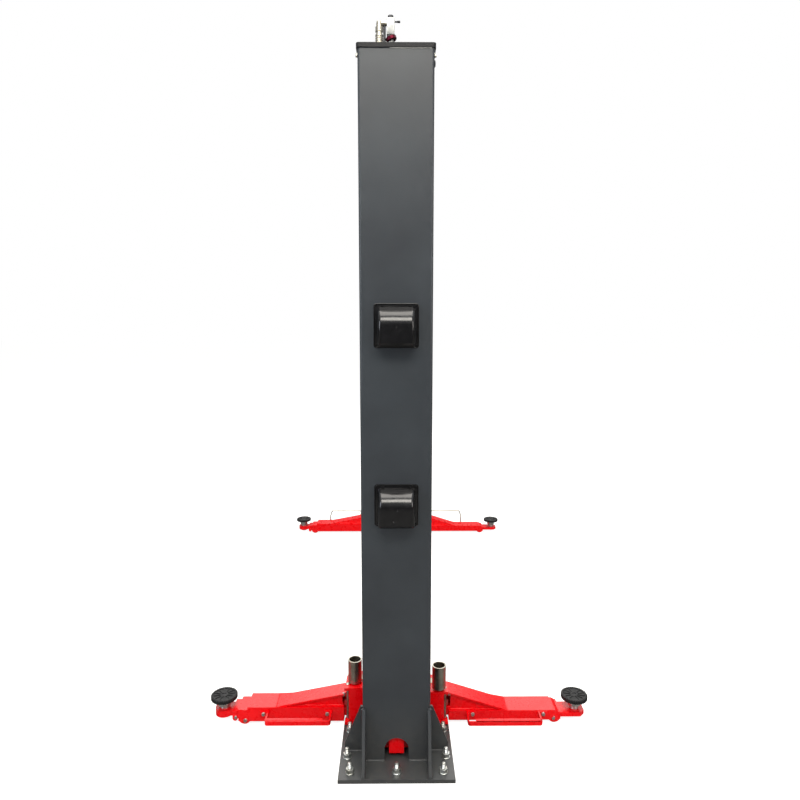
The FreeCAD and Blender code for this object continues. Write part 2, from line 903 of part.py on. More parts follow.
def spine_plate(kind):
    """The sloping top plate, wider than the spine in front and flared to the box's width at its foot."""
    half, box_top = f"{kind}_half", f"(box_low + {kind}_tall)"
    first, last = f"{kind}_slope_start", f"{kind}_slope_end"
    high = f"(spine_top - (spine_top - {box_top}) * (box_start - {first}) / ({last} - {first}))"
    slab = prism(
        f"{kind}_slab",
        "YZ",
        [
            (along("box_start"), high),
            (along("box_start"), f"{high} - root_wall"),
            (along(last), f"{box_top} - root_wall"),
            (along(last), box_top),
        ],
        *across(half),
    )
    front = f"{PIN_X} + spine_half + spine_lip"
    plan = prism(
        f"{kind}_slab_plan",
        "XY",
        [
            (f"{PIN_X} - spine_half", along("box_start")),
            (front, along("box_start")),
            (front, along(f"{last} - spine_flare / 2")),
            (f"{PIN_X} + {half}", along(last)),
            (f"{PIN_X} - {half}", along(last)),
            (f"{PIN_X} - spine_half", along(f"{last} - spine_flare")),
        ],
        "box_low",
        "spine_top + 1",
    )
    return common(f"{kind}_spine_plate", slab, plan)


def outer_arm(kind):
    half = f"{kind}_half"
    box_top = f"(box_low + {kind}_tall)"
    end, collar = f"{kind}_end", f"{kind}_collar"
    first, last = f"{kind}_slope_start", f"{kind}_slope_end"
    collar_half = f"{half} - stage_play"
    tube = block(f"{kind}_tube", across(half), (along("box_start"), along(end)), ("box_low", box_top))
    stub_y = (f"{along(end)} - tube_wall", along(collar))
    stub = block(f"{kind}_collar_box", across(collar_half), stub_y, ("box_low", f"{box_top} - {kind}_collar_fall"))
    bolt_lobes = lobes(f"{kind}_lobes", collar_half, collar, "lobe_radius", "box_low - lobe_drop")
    spine = prism(
        f"{kind}_spine",
        "YZ",
        [
            ("pin_reach", ROOT_LOW),
            (along("box_start + root_wall"), ROOT_LOW),
            (along("box_start + root_wall"), box_top),
            (along(last), box_top),
            (along(first), "spine_top"),
            ("pin_reach", "spine_top"),
        ],
        *across("spine_half"),
    )
    nose = rod(f"{kind}_nose", "spine_half", f"spine_top - {ROOT_LOW}", PIN_X, "pin_reach", ROOT_LOW)
    fall = f"(spine_top - {box_top})"
    inner_end = f"({first} + ({last} - {first}) * ({fall} - root_wall) / {fall})"
    hollow = prism(
        f"{kind}_root_hollow",
        "YZ",
        [
            (along("-fork_round"), f"{ROOT_LOW} + root_wall"),
            (along("box_start"), f"{ROOT_LOW} + root_wall"),
            (along("box_start"), box_top),
            (along(inner_end), box_top),
            (along(first), "spine_top - root_wall"),
            (along("-fork_round"), "spine_top - root_wall"),
        ],
        *across("spine_half - root_wall"),
    )
    run = first_run(kind)
    high_run = (run[0], run[1], f"({box_top} - tube_wall)")
    room = tube_block(f"{kind}_room", high_run, "box_start - 1", f"{end} - tube_wall")
    mouth = tube_block(f"{kind}_mouth", run, f"{end} - 2 * tube_wall", f"{collar} + 1")
    ear_gap = block(
        f"{kind}_ear_gap",
        across(f"{collar_half} - root_wall"),
        (along(f"{collar} - 2 * lobe_radius"), along(f"{collar} + 1")),
        ("0", "box_low"),
    )
    notch = block(
        f"{kind}_lock_notch",
        (f"{PIN_X} + spine_half - root_wall - 1", f"{PIN_X} + spine_half + 1"),
        ("pin_reach - spine_half", along("box_start + root_wall")),
        ("gear_low + gear_thick", "gear_low + gear_thick + 2 * lock_lift + lock_block"),
    )
    welded = fused(f"{kind}_welded", tube, stub, bolt_lobes, spine, spine_plate(kind), nose)
    shell = cut(f"{kind}_shell", welded, hollow, room, mouth, ear_gap, notch)
    hub_tall = f"{fork_roof(kind)} - root_gap - {ROOT_LOW}"
    boss = rod(f"{kind}_boss", "boss_radius", hub_tall, PIN_X, "pin_reach", ROOT_LOW)
    bore = rod(f"{kind}_bore", "pin_radius + pin_slack", beam_top(kind), PIN_X, "pin_reach", "0")
    return cut(f"{kind}_arm", fused(f"{kind}_rooted", shell, boss, root_gear(kind)), bore)


MIDDLE = stage_in(first_run("long"))
# The middle stage has a thicker floor, which carries the inner stage well clear of the outer box.
MIDDLE_ROOM = (run_in(MIDDLE)[0], f"({MIDDLE[1]} + middle_floor)", run_in(MIDDLE)[2])
INNER = {"long": stage_in(MIDDLE_ROOM), "short": stage_in(first_run("short"))}
MIDDLE_START = "box_start + stage_heel"


def middle_tube():
    half, floor, _ = MIDDLE
    box = tube_block("middle_box", MIDDLE, MIDDLE_START, "long_middle_end")
    cheeks = lobes("middle_lobes", half, "long_middle_end", "inner_lobe_radius", "box_low - inner_lobe_drop")
    bore = tube_block("middle_bore", MIDDLE_ROOM, f"{MIDDLE_START} - 1", "long_middle_end + 1")
    gap_y = (along("long_middle_end - 2 * inner_lobe_radius"), along("long_middle_end + 1"))
    ear_gap = block("middle_ear_gap", across(f"{half} - tube_wall"), gap_y, ("0", floor))
    return cut("middle_tube", fused("middle_welded", box, cheeks), bore, ear_gap)


def pad_holder(kind):
    """The block at an arm's tip that the pad's screw turns in, round or square ended."""
    half, low, top = INNER[kind]
    centre = along(f"{kind}_pad")
    if kind == "long":
        boss = rod(f"{kind}_holder_boss", "holder_radius", "holder_top - holder_low", PIN_X, centre, "holder_low")
        start = f"{centre} - holder_radius + tube_wall"
        web = block(f"{kind}_web", across(half), (start, centre), (low, top))
        return fused(f"{kind}_holder", boss, web)
    near, tip = f"{along('short_collar')} + stage_gap", f"{centre} + holder_radius"
    chamfer = f"{tip} - holder_radius / 2"
    left, right = across(half)
    corners = [
        (left, near),
        (right, near),
        (right, chamfer),
        (f"{PIN_X} + {half} / 2", tip),
        (f"{PIN_X} - {half} / 2", tip),
        (left, chamfer),
    ]
    return prism(f"{kind}_web", "XY", corners, low, top)


def inner_tube(kind, start):
    section, end = INNER[kind], f"{kind}_pad"
    holder = pad_holder(kind)
    tube = cut(
        f"{kind}_inner_hollowed",
        tube_block(f"{kind}_inner_box", section, start, end),
        tube_block(f"{kind}_inner_bore", run_in(section), f"{start} - 1", f"{end} - holder_radius"),
    )
    thread = rod(f"{kind}_thread", "screw_radius + pin_slack", "holder_top", PIN_X, along(end), "0")
    return cut(f"{kind}_inner_tube", fused(f"{kind}_inner_welded", tube, holder), thread)


def pad_screw(kind):
    centre, low = along(f"{kind}_pad"), f"{kind}_pad_low"
    return fused(
        f"{kind}_pad_screw",
        rod(f"{kind}_screw", "screw_radius", f"{low} - screw_foot", PIN_X, centre, "screw_foot"),
        rod(f"{kind}_carrier", "carrier_radius", "carrier_tall", PIN_X, centre, f"{low} - carrier_tall"),
        rod(f"{kind}_spigot", "screw_radius - pad_seat", "pad_seat", PIN_X, centre, low),
    )


def rubber_pad(kind):
    centre, low = along(f"{kind}_pad"), f"{kind}_pad_low"
    top = f"{low} + pad_thick"
    disc = rod(f"{kind}_disc", "pad_radius", "pad_thick", PIN_X, centre, low)
    edge = doc.addObject("Part::Fillet", f"{kind}_disc_edges")
    edge.Base = disc
    doc.recompute()
    rims = [index for index, rim in enumerate(disc.Shape.Edges, 1) if rim.Curve.TypeId == "Part::GeomCircle"]
    edge.Edges = [(index, size("pad_rib"), size("pad_rib")) for index in rims]
    seat = rod(f"{kind}_seat", "screw_radius - pad_seat + pin_slack", "pad_seat + pin_slack", PIN_X, centre, low)
    dish = rod(f"{kind}_dish", "pad_radius - 2 * pad_rib", "pad_rib + 1", PIN_X, centre, f"{top} - pad_rib")
    base = cut(f"{kind}_dished", edge, seat, dish)
    ribs = []
    for index, angle in enumerate((0, 60, 120)):
        rib = doc.addObject("Part::Box", f"{kind}_rib_{index}")
        rib.setExpression("Length", formula("2 * (pad_radius - pad_rib)"))
        rib.setExpression("Width", formula("2 * pad_rib"))
        rib.setExpression("Height", formula("pad_rib"))
        turn = FreeCAD.Rotation(FreeCAD.Vector(0, 0, 1), angle)
        offset = turn.multVec(FreeCAD.Vector(-size("pad_radius - pad_rib"), -size("pad_rib"), 0))
        place = FreeCAD.Vector(size(PIN_X), size(centre), size(f"{top} - pad_rib"))
        rib.Placement = FreeCAD.Placement(place + offset, turn)
        ribs.append(rib)
    return fused(f"{kind}_pad_rubber", base, *ribs)


def foot_guard(kind):
    """A flat bar bent to a U, bolted to the arm's side by the tabs at its ends."""
    side = f"{PIN_X} + {kind}_half"
    out = f"{side} + guard_out"
    start, end = along(f"{kind}_guard_start"), along(f"{kind}_guard_end")
    strip = "guard_strip"
    points = [
        (side, f"{start} + guard_tab"),
        (side, start),
        (out, start),
        (out, end),
        (f"{side} + {strip}", end),
        (f"{side} + {strip}", f"{end} + guard_tab"),
        (side, f"{end} + guard_tab"),
        (side, f"{end} - {strip}"),
        (f"{out} - {strip}", f"{end} - {strip}"),
        (f"{out} - {strip}", f"{start} + {strip}"),
        (f"{side} + {strip}", f"{start} + {strip}"),
        (f"{side} + {strip}", f"{start} + guard_tab"),
    ]
    low = f"{kind}_guard_low"
    body = prism(f"{kind}_guard_bar", "XY", points, low, f"{low} + guard_tall")
    far_x = size(out)

    def outer_bend(edge):
        return upright(edge) and abs(edge.Vertexes[0].Point.x - far_x) < 0.01

    return soften(body, f"{kind}_guard_bends", "2 * guard_strip", outer_bend)


def guard_rail(kind):
    """A round bar loop beside the arm: up from the box's top, out, along, and back down to it."""
    inner, outer = size(f"{PIN_X} + rail_in"), size(f"{PIN_X} + {kind}_half + rail_out")
    start, end = size(along("rail_start")), size(along("rail_end"))
    foot, top = size(f"box_low + {kind}_tall"), size("rail_high")
    radius = size("rail_radius")
    corners = [
        FreeCAD.Vector(inner, end, foot),
        FreeCAD.Vector(inner, end, top),
        FreeCAD.Vector(outer, end, top),
        FreeCAD.Vector(outer, start, top),
        FreeCAD.Vector(inner, start, top),
        FreeCAD.Vector(inner, start, foot),
    ]
    bend = 3 * radius
    edges, last = [], corners[0]
    for before, corner, after in zip(corners, corners[1:], corners[2:]):
        entry = corner + (before - corner).normalize() * bend
        leave = corner + (after - corner).normalize() * bend
        middle = (entry + leave) / 2
        crown = corner + (middle - corner).normalize() * bend * (math.sqrt(2) - 1)
        edges.append(Part.LineSegment(last, entry).toShape())
        edges.append(Part.Arc(entry, crown, leave).toShape())
        last = leave
    edges.append(Part.LineSegment(last, corners[-1]).toShape())
    section = Part.Wire([Part.makeCircle(radius, corners[0], FreeCAD.Vector(0, 0, 1))])
    item = doc.addObject("Part::Feature", f"{kind}_rail")
    item.Shape = Part.Wire(edges).makePipeShell([section], True, True)
    return item


long_arm = [
    ("arm", outer_arm("long")),
    ("middle_tube", middle_tube()),
    ("inner_tube", inner_tube("long", "box_start + 2 * stage_heel")),
    ("pad_screw", pad_screw("long")),
    ("pad", rubber_pad("long")),
]
short_arm = [
    ("arm", outer_arm("short")),
    ("inner_tube", inner_tube("short", MIDDLE_START)),
    ("pad_screw", pad_screw("short")),
    ("pad", rubber_pad("short")),
]
for label, piece in long_arm:
    near_and_far(f"left_{label}", mirrored(f"left_{label}", piece, ACROSS))
for label, piece in short_arm:
    near_and_far(f"right_{label}", piece)
node("near_left_foot_guard", mirrored("near_left_foot_guard", foot_guard("long"), ACROSS))
node("near_right_foot_guard", foot_guard("short"))
far_long_rail = mirrored("far_long_rail", guard_rail("long"), OVER)
node("far_left_foot_guard", mirrored("far_left_foot_guard", far_long_rail, ACROSS))
node("far_right_foot_guard", mirrored("far_right_foot_guard", guard_rail("short"), OVER))

doc.recompute()
for item in doc.Objects:
    if "Invalid" in item.State or "Error" in item.State:
        raise RuntimeError(f"{item.Name} failed to build: {item.State}")
for item in nodes:
    if item.Shape.isNull() or not item.Shape.isValid():
        raise RuntimeError(f"{item.Label} has no valid shape")

os.makedirs("parts", exist_ok=True)
for item in nodes:
    item.Shape.exportStep(f"parts/{item.Label}.step")
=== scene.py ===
import math

import bmesh
import bpy
from mathutils import Matrix, Vector


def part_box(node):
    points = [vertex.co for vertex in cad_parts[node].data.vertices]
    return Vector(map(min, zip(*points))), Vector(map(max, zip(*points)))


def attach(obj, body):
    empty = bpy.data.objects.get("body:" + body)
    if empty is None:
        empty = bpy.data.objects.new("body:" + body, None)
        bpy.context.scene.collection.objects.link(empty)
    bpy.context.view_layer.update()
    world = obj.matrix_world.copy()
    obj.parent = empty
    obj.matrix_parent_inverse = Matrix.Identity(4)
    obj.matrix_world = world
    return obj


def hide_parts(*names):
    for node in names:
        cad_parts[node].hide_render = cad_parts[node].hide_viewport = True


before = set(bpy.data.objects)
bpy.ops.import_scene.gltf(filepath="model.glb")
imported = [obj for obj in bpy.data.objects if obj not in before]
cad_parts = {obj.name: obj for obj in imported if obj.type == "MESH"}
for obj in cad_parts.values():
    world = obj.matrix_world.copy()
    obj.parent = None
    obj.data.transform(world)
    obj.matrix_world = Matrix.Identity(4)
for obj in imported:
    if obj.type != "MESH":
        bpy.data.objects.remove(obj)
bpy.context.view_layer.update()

# Camera: an eye-level view of the lift end on, square to the near column's outer face.
# The camera stands 2.4 m outside the column and looks slightly down.
CAMERA_PLACE = Vector((4.059, -0.005, 1.845))
CAMERA_PITCH = 0.1287
CAMERA_YAW = 0.0079
FOCAL_PIXELS = 637.4
PICTURE_PIXELS = 800

camera_data = bpy.data.cameras.new("camera")
camera_data.sensor_width = 36
camera_data.lens = camera_data.sensor_width * FOCAL_PIXELS / PICTURE_PIXELS
camera_data.clip_end = 200
camera = bpy.data.objects.new("camera", camera_data)
bpy.context.scene.collection.objects.link(camera)
camera.location = CAMERA_PLACE
camera.rotation_euler = (math.pi / 2 - CAMERA_PITCH, 0, math.pi / 2 - CAMERA_YAW)
bpy.context.scene.camera = camera
bpy.context.scene.view_settings.view_transform = "Standard"


# Studio: a plain pale floor without a horizon, under a soft overhead panel and two side panels.
# A ceiling panel outside the near column draws the level glints on the curved black hoods.
def linear(colour):
    """An sRGB hex colour in the linear values that shaders and lamps use."""
    parts = [int(colour[start:start + 2], 16) / 255 for start in (1, 3, 5)]
    return tuple(
        part / 12.92 if part <= 0.04045 else ((part + 0.055) / 1.055) ** 2.4 for part in parts
    ) + (1,)


def add_node(tree, kind, inputs=None, **settings):
    """A shader node with its settings, and with values or links on its inputs."""
    made = tree.nodes.new(kind)
    for setting, value in settings.items():
        setattr(made, setting, value)
    for socket, value in (inputs or {}).items():
        if isinstance(value, bpy.types.NodeSocket):
            tree.links.new(value, made.inputs[socket])
        else:
            made.inputs[socket].default_value = value
    return made


def ray_kinds(tree):
    """1 for what the camera sees itself or through clear parts, and 1 for what gloss mirrors."""
    path = add_node(tree, "ShaderNodeLightPath")
    direct = add_node(
        tree, "ShaderNodeMath", {0: path.outputs["Is Camera Ray"], 1: path.outputs["Is Transmission Ray"]},
        operation="MAXIMUM",
    )
    return direct.outputs[0], path.outputs["Is Glossy Ray"]


WHITE = (1, 1, 1, 1)
AMBIENT_STRENGTH = 0.36

world = bpy.data.worlds.new("studio")
bpy.context.scene.world = world
world.use_nodes = True
world.node_tree.nodes.clear()
direct, mirrored_ray = ray_kinds(world.node_tree)
ambient = add_node(
    world.node_tree, "ShaderNodeBackground", {"Color": linear("#eeeeed"), "Strength": AMBIENT_STRENGTH})
# A dim surround at eye level and a brighter ceiling keep upright faces deep and level faces pale.
heading = add_node(world.node_tree, "ShaderNodeTexCoord").outputs["Generated"]
rise = add_node(world.node_tree, "ShaderNodeSeparateXYZ", {0: heading})
ceiling = add_node(
    world.node_tree, "ShaderNodeMapRange",
    {"Value": rise.outputs["Z"], "From Min": 0.15, "From Max": 0.8, "To Min": 0.12, "To Max": 1.2})
in_gloss = add_node(
    world.node_tree, "ShaderNodeBackground", {"Color": linear("#eceff1"), "Strength": ceiling.outputs[0]})
backdrop = add_node(world.node_tree, "ShaderNodeBackground", {"Color": WHITE, "Strength": 1.0})
gloss_mix = add_node(
    world.node_tree, "ShaderNodeMixShader", {0: mirrored_ray, 1: ambient.outputs[0], 2: in_gloss.outputs[0]})
view_mix = add_node(
    world.node_tree, "ShaderNodeMixShader", {0: direct, 1: gloss_mix.outputs[0], 2: backdrop.outputs[0]})
add_node(world.node_tree, "ShaderNodeOutputWorld", {"Surface": view_mix.outputs[0]})

FLOOR_REACH = 40.0
FLOOR_DROP = 0.0005
FLOOR_GLOW = 0.86

mesh = bmesh.new()
bmesh.ops.create_grid(mesh, x_segments=1, y_segments=1, size=FLOOR_REACH)
floor_mesh = bpy.data.meshes.new("studio_floor")
mesh.to_mesh(floor_mesh)
mesh.free()
floor = bpy.data.objects.new("studio_floor", floor_mesh)
bpy.context.scene.collection.objects.link(floor)
floor.location.z = -FLOOR_DROP
floor_paint = bpy.data.materials.new("pale_floor_paint")
floor_paint.use_nodes = True
floor_tree = floor_paint.node_tree
floor_tree.nodes.clear()
# The camera sees matt paint with a glow of its own, so the floor joins the backdrop without a line.
# Glossy surfaces mirror a darker tone of it, which keeps black plastic and red enamel deep.
matt = add_node(floor_tree, "ShaderNodeBsdfDiffuse", {"Color": linear("#b4b4b3")})
white = add_node(floor_tree, "ShaderNodeEmission", {"Color": WHITE, "Strength": FLOOR_GLOW})
toned = add_node(floor_tree, "ShaderNodeBsdfDiffuse", {"Color": linear("#747473")})
lifted = add_node(floor_tree, "ShaderNodeAddShader", {0: matt.outputs[0], 1: white.outputs[0]})
direct, mirrored_ray = ray_kinds(floor_tree)
in_mirror = add_node(
    floor_tree, "ShaderNodeMixShader", {0: mirrored_ray, 1: matt.outputs[0], 2: toned.outputs[0]})
finish = add_node(
    floor_tree, "ShaderNodeMixShader", {0: direct, 1: in_mirror.outputs[0], 2: lifted.outputs[0]})
add_node(floor_tree, "ShaderNodeOutputMaterial", {"Surface": finish.outputs[0]})
floor_mesh.materials.append(floor_paint)


def panel(name, place, aim, size_x, size_y, power, colour):
    """A soft rectangular lamp turned towards a point."""
    lamp = bpy.data.lights.new(name, "AREA")
    lamp.shape = "RECTANGLE"
    lamp.size = size_x
    lamp.size_y = size_y
    lamp.energy = power
    lamp.color = linear(colour)[:3]
    holder = bpy.data.objects.new(name, lamp)
    bpy.context.scene.collection.objects.link(holder)
    holder.location = place
    holder.rotation_euler = (Vector(aim) - Vector(place)).to_track_quat("-Z", "Y").to_euler()
    return holder


panel("overhead_panel", (1.5, 0.0, 5.6), (1.3, 0.0, 0.0), 4.4, 3.8, 270, "#fff9f0")
panel("left_panel", (4.6, -4.2, 2.6), (1.0, 0.0, 1.2), 2.4, 2.4, 95, "#eef3ff")
panel("right_panel", (4.8, 4.4, 2.8), (1.0, 0.0, 1.2), 2.4, 2.4, 90, "#fffaf4")
# A tall panel behind the lift is mirrored by the level tops of the arms and pads.
back_panel = panel("back_panel", (-6.0, 0.0, 5.0), (1.0, 0.0, 0.0), 8.0, 4.0, 290, "#fffdf8")
back_panel.visible_camera = False
ceiling_strip = panel("ceiling_strip", (5.75, 0.0, 5.5), (1.7, 0.0, 1.4), 5.0, 1.7, 300, "#fffaf0")
ceiling_strip.visible_camera = False


# Columns and floor cover: 6 mm sheet steel, folded and powder coated in graphite grey.
# The coat is satin with a faint orange peel, a little uneven in tone, and paler and warmer near the floor,
# partly from dust and partly from painted light thrown up by the pale floor.
def new_material(name):
    """An empty material, its node tree, and the place on the piece that patterns follow."""
    material = bpy.data.materials.new(name)
    material.use_nodes = True
    tree = material.node_tree
    tree.nodes.clear()
    return material, tree, add_node(tree, "ShaderNodeTexCoord").outputs["Object"]


def powder_coat(name, colour, thin, dust_and_floor_light, roughness, peel, dust_and_floor_light_top=0.30, sheen=0.5):
    """Baked powder paint: tone clouds, orange peel, uneven gloss, and a paler tint low down that is partly
    dust and partly painted floor light.
    """
    material, tree, place = new_material(name)
    # tone clouds of about 300 mm, where the coat is sprayed thicker or thinner
    clouds = add_node(
        tree, "ShaderNodeTexNoise", {"Vector": place, "Scale": 3.5, "Detail": 4.0, "Roughness": 0.55})
    tone = add_node(
        tree, "ShaderNodeMapRange", {"Value": clouds.outputs["Fac"], "From Min": 0.35, "From Max": 0.70})
    paint = add_node(
        tree, "ShaderNodeMix",
        {"Factor": tone.outputs[0], 6: linear(colour), 7: linear(thin)}, data_type="RGBA")
    height = add_node(tree, "ShaderNodeSeparateXYZ", {0: place})
    # a paler, warmer tint towards the floor: partly settled dust, partly painted light thrown up from the
    # pale floor
    low_dust_and_floor_light = add_node(
        tree, "ShaderNodeMapRange",
        {"Value": height.outputs["Z"], "From Min": 0.0, "From Max": dust_and_floor_light_top, "To Min": 0.55, "To Max": 0.0})
    # specks of dust and of painted floor light, in drifts of about 26 mm
    specks = add_node(
        tree, "ShaderNodeTexNoise", {"Vector": place, "Scale": 38.0, "Detail": 3.0, "Roughness": 0.6})
    dust_and_floor_light_mask = add_node(
        tree, "ShaderNodeMath", {0: low_dust_and_floor_light.outputs[0], 1: specks.outputs["Fac"]}, operation="MULTIPLY")
    with_dust_and_floor_light = add_node(
        tree, "ShaderNodeMix",
        {"Factor": dust_and_floor_light_mask.outputs[0], 6: paint.outputs[2], 7: linear(dust_and_floor_light)}, data_type="RGBA")
    # orange peel has waves of about 2 mm, drawn at 3 mm so that they show
    waves = add_node(tree, "ShaderNodeTexNoise", {"Vector": place, "Scale": 330.0, "Detail": 2.0})
    bump = add_node(
        tree, "ShaderNodeBump", {"Height": waves.outputs["Fac"], "Strength": peel, "Distance": 0.0006})
    gloss = add_node(
        tree, "ShaderNodeMapRange",
        {"Value": specks.outputs["Fac"], "From Min": 0.3, "From Max": 0.75,
         "To Min": roughness - 0.02, "To Max": roughness + 0.05})
    shader = add_node(
        tree, "ShaderNodeBsdfPrincipled",
        {"Base Color": with_dust_and_floor_light.outputs[2], "Roughness": gloss.outputs[0], "IOR": 1.5,
         "Specular IOR Level": sheen, "Normal": bump.outputs[0]})
    add_node(tree, "ShaderNodeOutputMaterial", {"Surface": shader.outputs[0]})
    return material


def dress(node_name, material):
    """Gives a CAD node its finish."""
    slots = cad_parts[node_name].data.materials
    slots.clear()
    slots.append(material)


SIDES = ("near", "far")
# Satin graphite powder coat: a deep grey with soft broad sheen, paler and warmer low down, partly where dust
# lies on it and partly as painted light from the floor.
graphite_coat = powder_coat("graphite_powder_coat", "#2c3035", "#33383d", "#55524b", 0.38, 0.25)
for side in SIDES:
    dress(f"{side}_column", graphite_coat)
dress("floor_cover", graphite_coat)


# Base plates: 16 mm flame-cut plate with four welded gussets, coated with the columns.
# Fillet welds run round the column's foot and along the gussets, rippled and coated over.
def lathe(mesh, profile, turn, steps=24):
    """Spins an edge chain of (radius, height) points about Z, then puts it in place."""
    chain = [mesh.verts.new((radius, 0, height)) for radius, height in profile]
    edges = [mesh.edges.new(pair) for pair in zip(chain, chain[1:])]
    spun = bmesh.ops.spin(
        mesh, geom=chain + edges, cent=(0, 0, 0), axis=(0, 0, 1), angle=2 * math.pi, steps=steps,
        use_merge=True)
    made = {vert for item in spun["geom_last"] for vert in getattr(item, "verts", [item])} | set(chain)
    reached = set(made)
    while made:
        made = {edge.other_vert(vert) for vert in made for edge in vert.link_edges} - reached
        reached |= made
    bmesh.ops.transform(mesh, matrix=turn, verts=list(reached))
    bmesh.ops.remove_doubles(mesh, verts=list(reached), dist=1e-6)


def facing(place, direction):
    """The turn and shift that put a piece made along Z at a place, along a direction."""
    return Matrix.Translation(Vector(place)) @ Vector(direction).to_track_quat("Z", "Y").to_matrix().to_4x4()


def make_piece(name, mesh, material, body, crease=32):
    """A finished piece from a bmesh, smooth but for its real edges, riding on a CAD body."""
    data = bpy.data.meshes.new(name)
    mesh.to_mesh(data)
    mesh.free()
    data.shade_smooth()
    data.set_sharp_from_angle(angle=math.radians(crease))
    data.materials.append(material)
    item = bpy.data.objects.new(name, data)
    bpy.context.scene.collection.objects.link(item)
    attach(item, body)
    return item


def twin_in_x(mesh):
    """Adds the far side's pieces as a mirror image of what the bmesh holds."""
    copy = bmesh.ops.duplicate(mesh, geom=mesh.verts[:] + mesh.edges[:] + mesh.faces[:])["geom"]
    verts = [item for item in copy if isinstance(item, bmesh.types.BMVert)]
    faces = [item for item in copy if isinstance(item, bmesh.types.BMFace)]
    bmesh.ops.scale(mesh, vec=(-1, 1, 1), verts=verts)
    bmesh.ops.reverse_faces(mesh, faces=faces)


RIPPLE = 0.007
BEAD_STEPS = 8


def weld_bead(mesh, start, end, radius):
    """A straight fillet weld, half sunk in its corner, with one ripple per pool of metal."""
    start, end = Vector(start), Vector(end)
    length = (end - start).length
    count = max(2, round(length / RIPPLE))
    step = length / count
    profile = [(0, 0), (radius * 0.7, 0.001)]
    for ripple in range(count):
        foot = ripple * step
        profile.append((radius * 0.82, foot + 0.2 * step))
        profile.append((radius, foot + 0.6 * step))
        profile.append((radius * 0.86, foot + 0.95 * step))
    profile.append((0, length))
    lathe(mesh, profile, facing(start, end - start), steps=BEAD_STEPS)


for side in SIDES:
    dress(f"{side}_base_plate", graphite_coat)

PLATE_TOP = 0.016
COLUMN_FACE = 1.620
COLUMN_MOUTH = 1.400
COLUMN_HALF = 0.140
ARCH_HALF = 0.050
FRONT_BEAD = 0.006
SIDE_BEAD = 0.005
GUSSET_BEAD = 0.004
FRONT_GUSSET = {"inner": 0.127, "outer": 0.141, "reach": 1.728, "top": 0.246}
SIDE_GUSSET = {"faces": (1.545, 1.557), "foot": 0.141, "root": 0.1405, "reach": 0.216, "top": 0.213}


def level_bead(mesh, start, end, radius):
    """A weld bead along the top of the base plate."""
    weld_bead(mesh, (*start, PLATE_TOP), (*end, PLATE_TOP), radius)


mesh = bmesh.new()
for hand in (-1, 1):
    side_y = hand * COLUMN_HALF
    inner_y, outer_y = hand * FRONT_GUSSET["inner"], hand * FRONT_GUSSET["outer"]
    level_bead(mesh, (COLUMN_FACE, hand * ARCH_HALF), (COLUMN_FACE, inner_y), FRONT_BEAD)
    level_bead(mesh, (COLUMN_MOUTH + 0.012, side_y), (SIDE_GUSSET["faces"][0] - 0.001, side_y), SIDE_BEAD)
    level_bead(mesh, (SIDE_GUSSET["faces"][1] + 0.001, side_y), (COLUMN_FACE - 0.008, side_y), SIDE_BEAD)
    # gusset outside the column
    weld_bead(
        mesh, (COLUMN_FACE, outer_y, PLATE_TOP), (COLUMN_FACE, outer_y, FRONT_GUSSET["top"]), GUSSET_BEAD)
    level_bead(mesh, (COLUMN_FACE, outer_y), (FRONT_GUSSET["reach"], outer_y), GUSSET_BEAD)
    level_bead(mesh, (COLUMN_FACE + FRONT_BEAD, inner_y), (FRONT_GUSSET["reach"], inner_y), GUSSET_BEAD)
    # gusset at the column's side
    for face in SIDE_GUSSET["faces"]:
        root_y = hand * SIDE_GUSSET["root"]
        weld_bead(mesh, (face, root_y, PLATE_TOP), (face, root_y, SIDE_GUSSET["top"]), GUSSET_BEAD)
        level_bead(mesh, (face, hand * SIDE_GUSSET["foot"]), (face, hand * SIDE_GUSSET["reach"]), GUSSET_BEAD)
twin_in_x(mesh)
make_piece("base_welds", mesh, graphite_coat, "columns", crease=70)


# Floor anchors: seven M20 studs per base plate, each with a washer and a hexagon nut.
# They are bright zinc plated, with a few turns of thread standing above the nut.
def worked_metal(name, colour, patch, roughness, grain):
    """Plated, milled or anodised metal: clouds in its tone, and a gloss broken by drawn grain."""
    material, tree, place = new_material(name)
    clouds = add_node(tree, "ShaderNodeTexNoise", {"Vector": place, "Scale": 26.0, "Detail": 5.0})
    spread = add_node(
        tree, "ShaderNodeMapRange", {"Value": clouds.outputs["Fac"], "From Min": 0.4, "From Max": 0.68})
    tint = add_node(
        tree, "ShaderNodeMix",
        {"Factor": spread.outputs[0], 6: linear(colour), 7: linear(patch)}, data_type="RGBA")
    # turned and drawn marks are about 0.1 mm apart, drawn at 1 mm so that they show
    stretched = add_node(tree, "ShaderNodeMapping", {"Vector": place, "Scale": (40.0, 40.0, 900.0)})
    marks = add_node(
        tree, "ShaderNodeTexNoise", {"Vector": stretched.outputs[0], "Scale": 1.0, "Detail": 2.0})
    bump = add_node(
        tree, "ShaderNodeBump", {"Height": marks.outputs["Fac"], "Strength": grain, "Distance": 0.0004})
    gloss = add_node(
        tree, "ShaderNodeMapRange",
        {"Value": marks.outputs["Fac"], "From Min": 0.3, "From Max": 0.7,
         "To Min": roughness - 0.06, "To Max": roughness + 0.08})
    shader = add_node(
        tree, "ShaderNodeBsdfPrincipled",
        {"Base Color": tint.outputs[2], "Metallic": 1.0, "Roughness": gloss.outputs[0],
         "Normal": bump.outputs[0]})
    add_node(tree, "ShaderNodeOutputMaterial", {"Surface": shader.outputs[0]})
    return material


# Bright zinc plate: a cool pale metal, a little clouded, with small soft glints on each edge.
bright_zinc = worked_metal("bright_zinc_plate", "#c2c5c3", "#a8a79d", 0.36, 0.05)


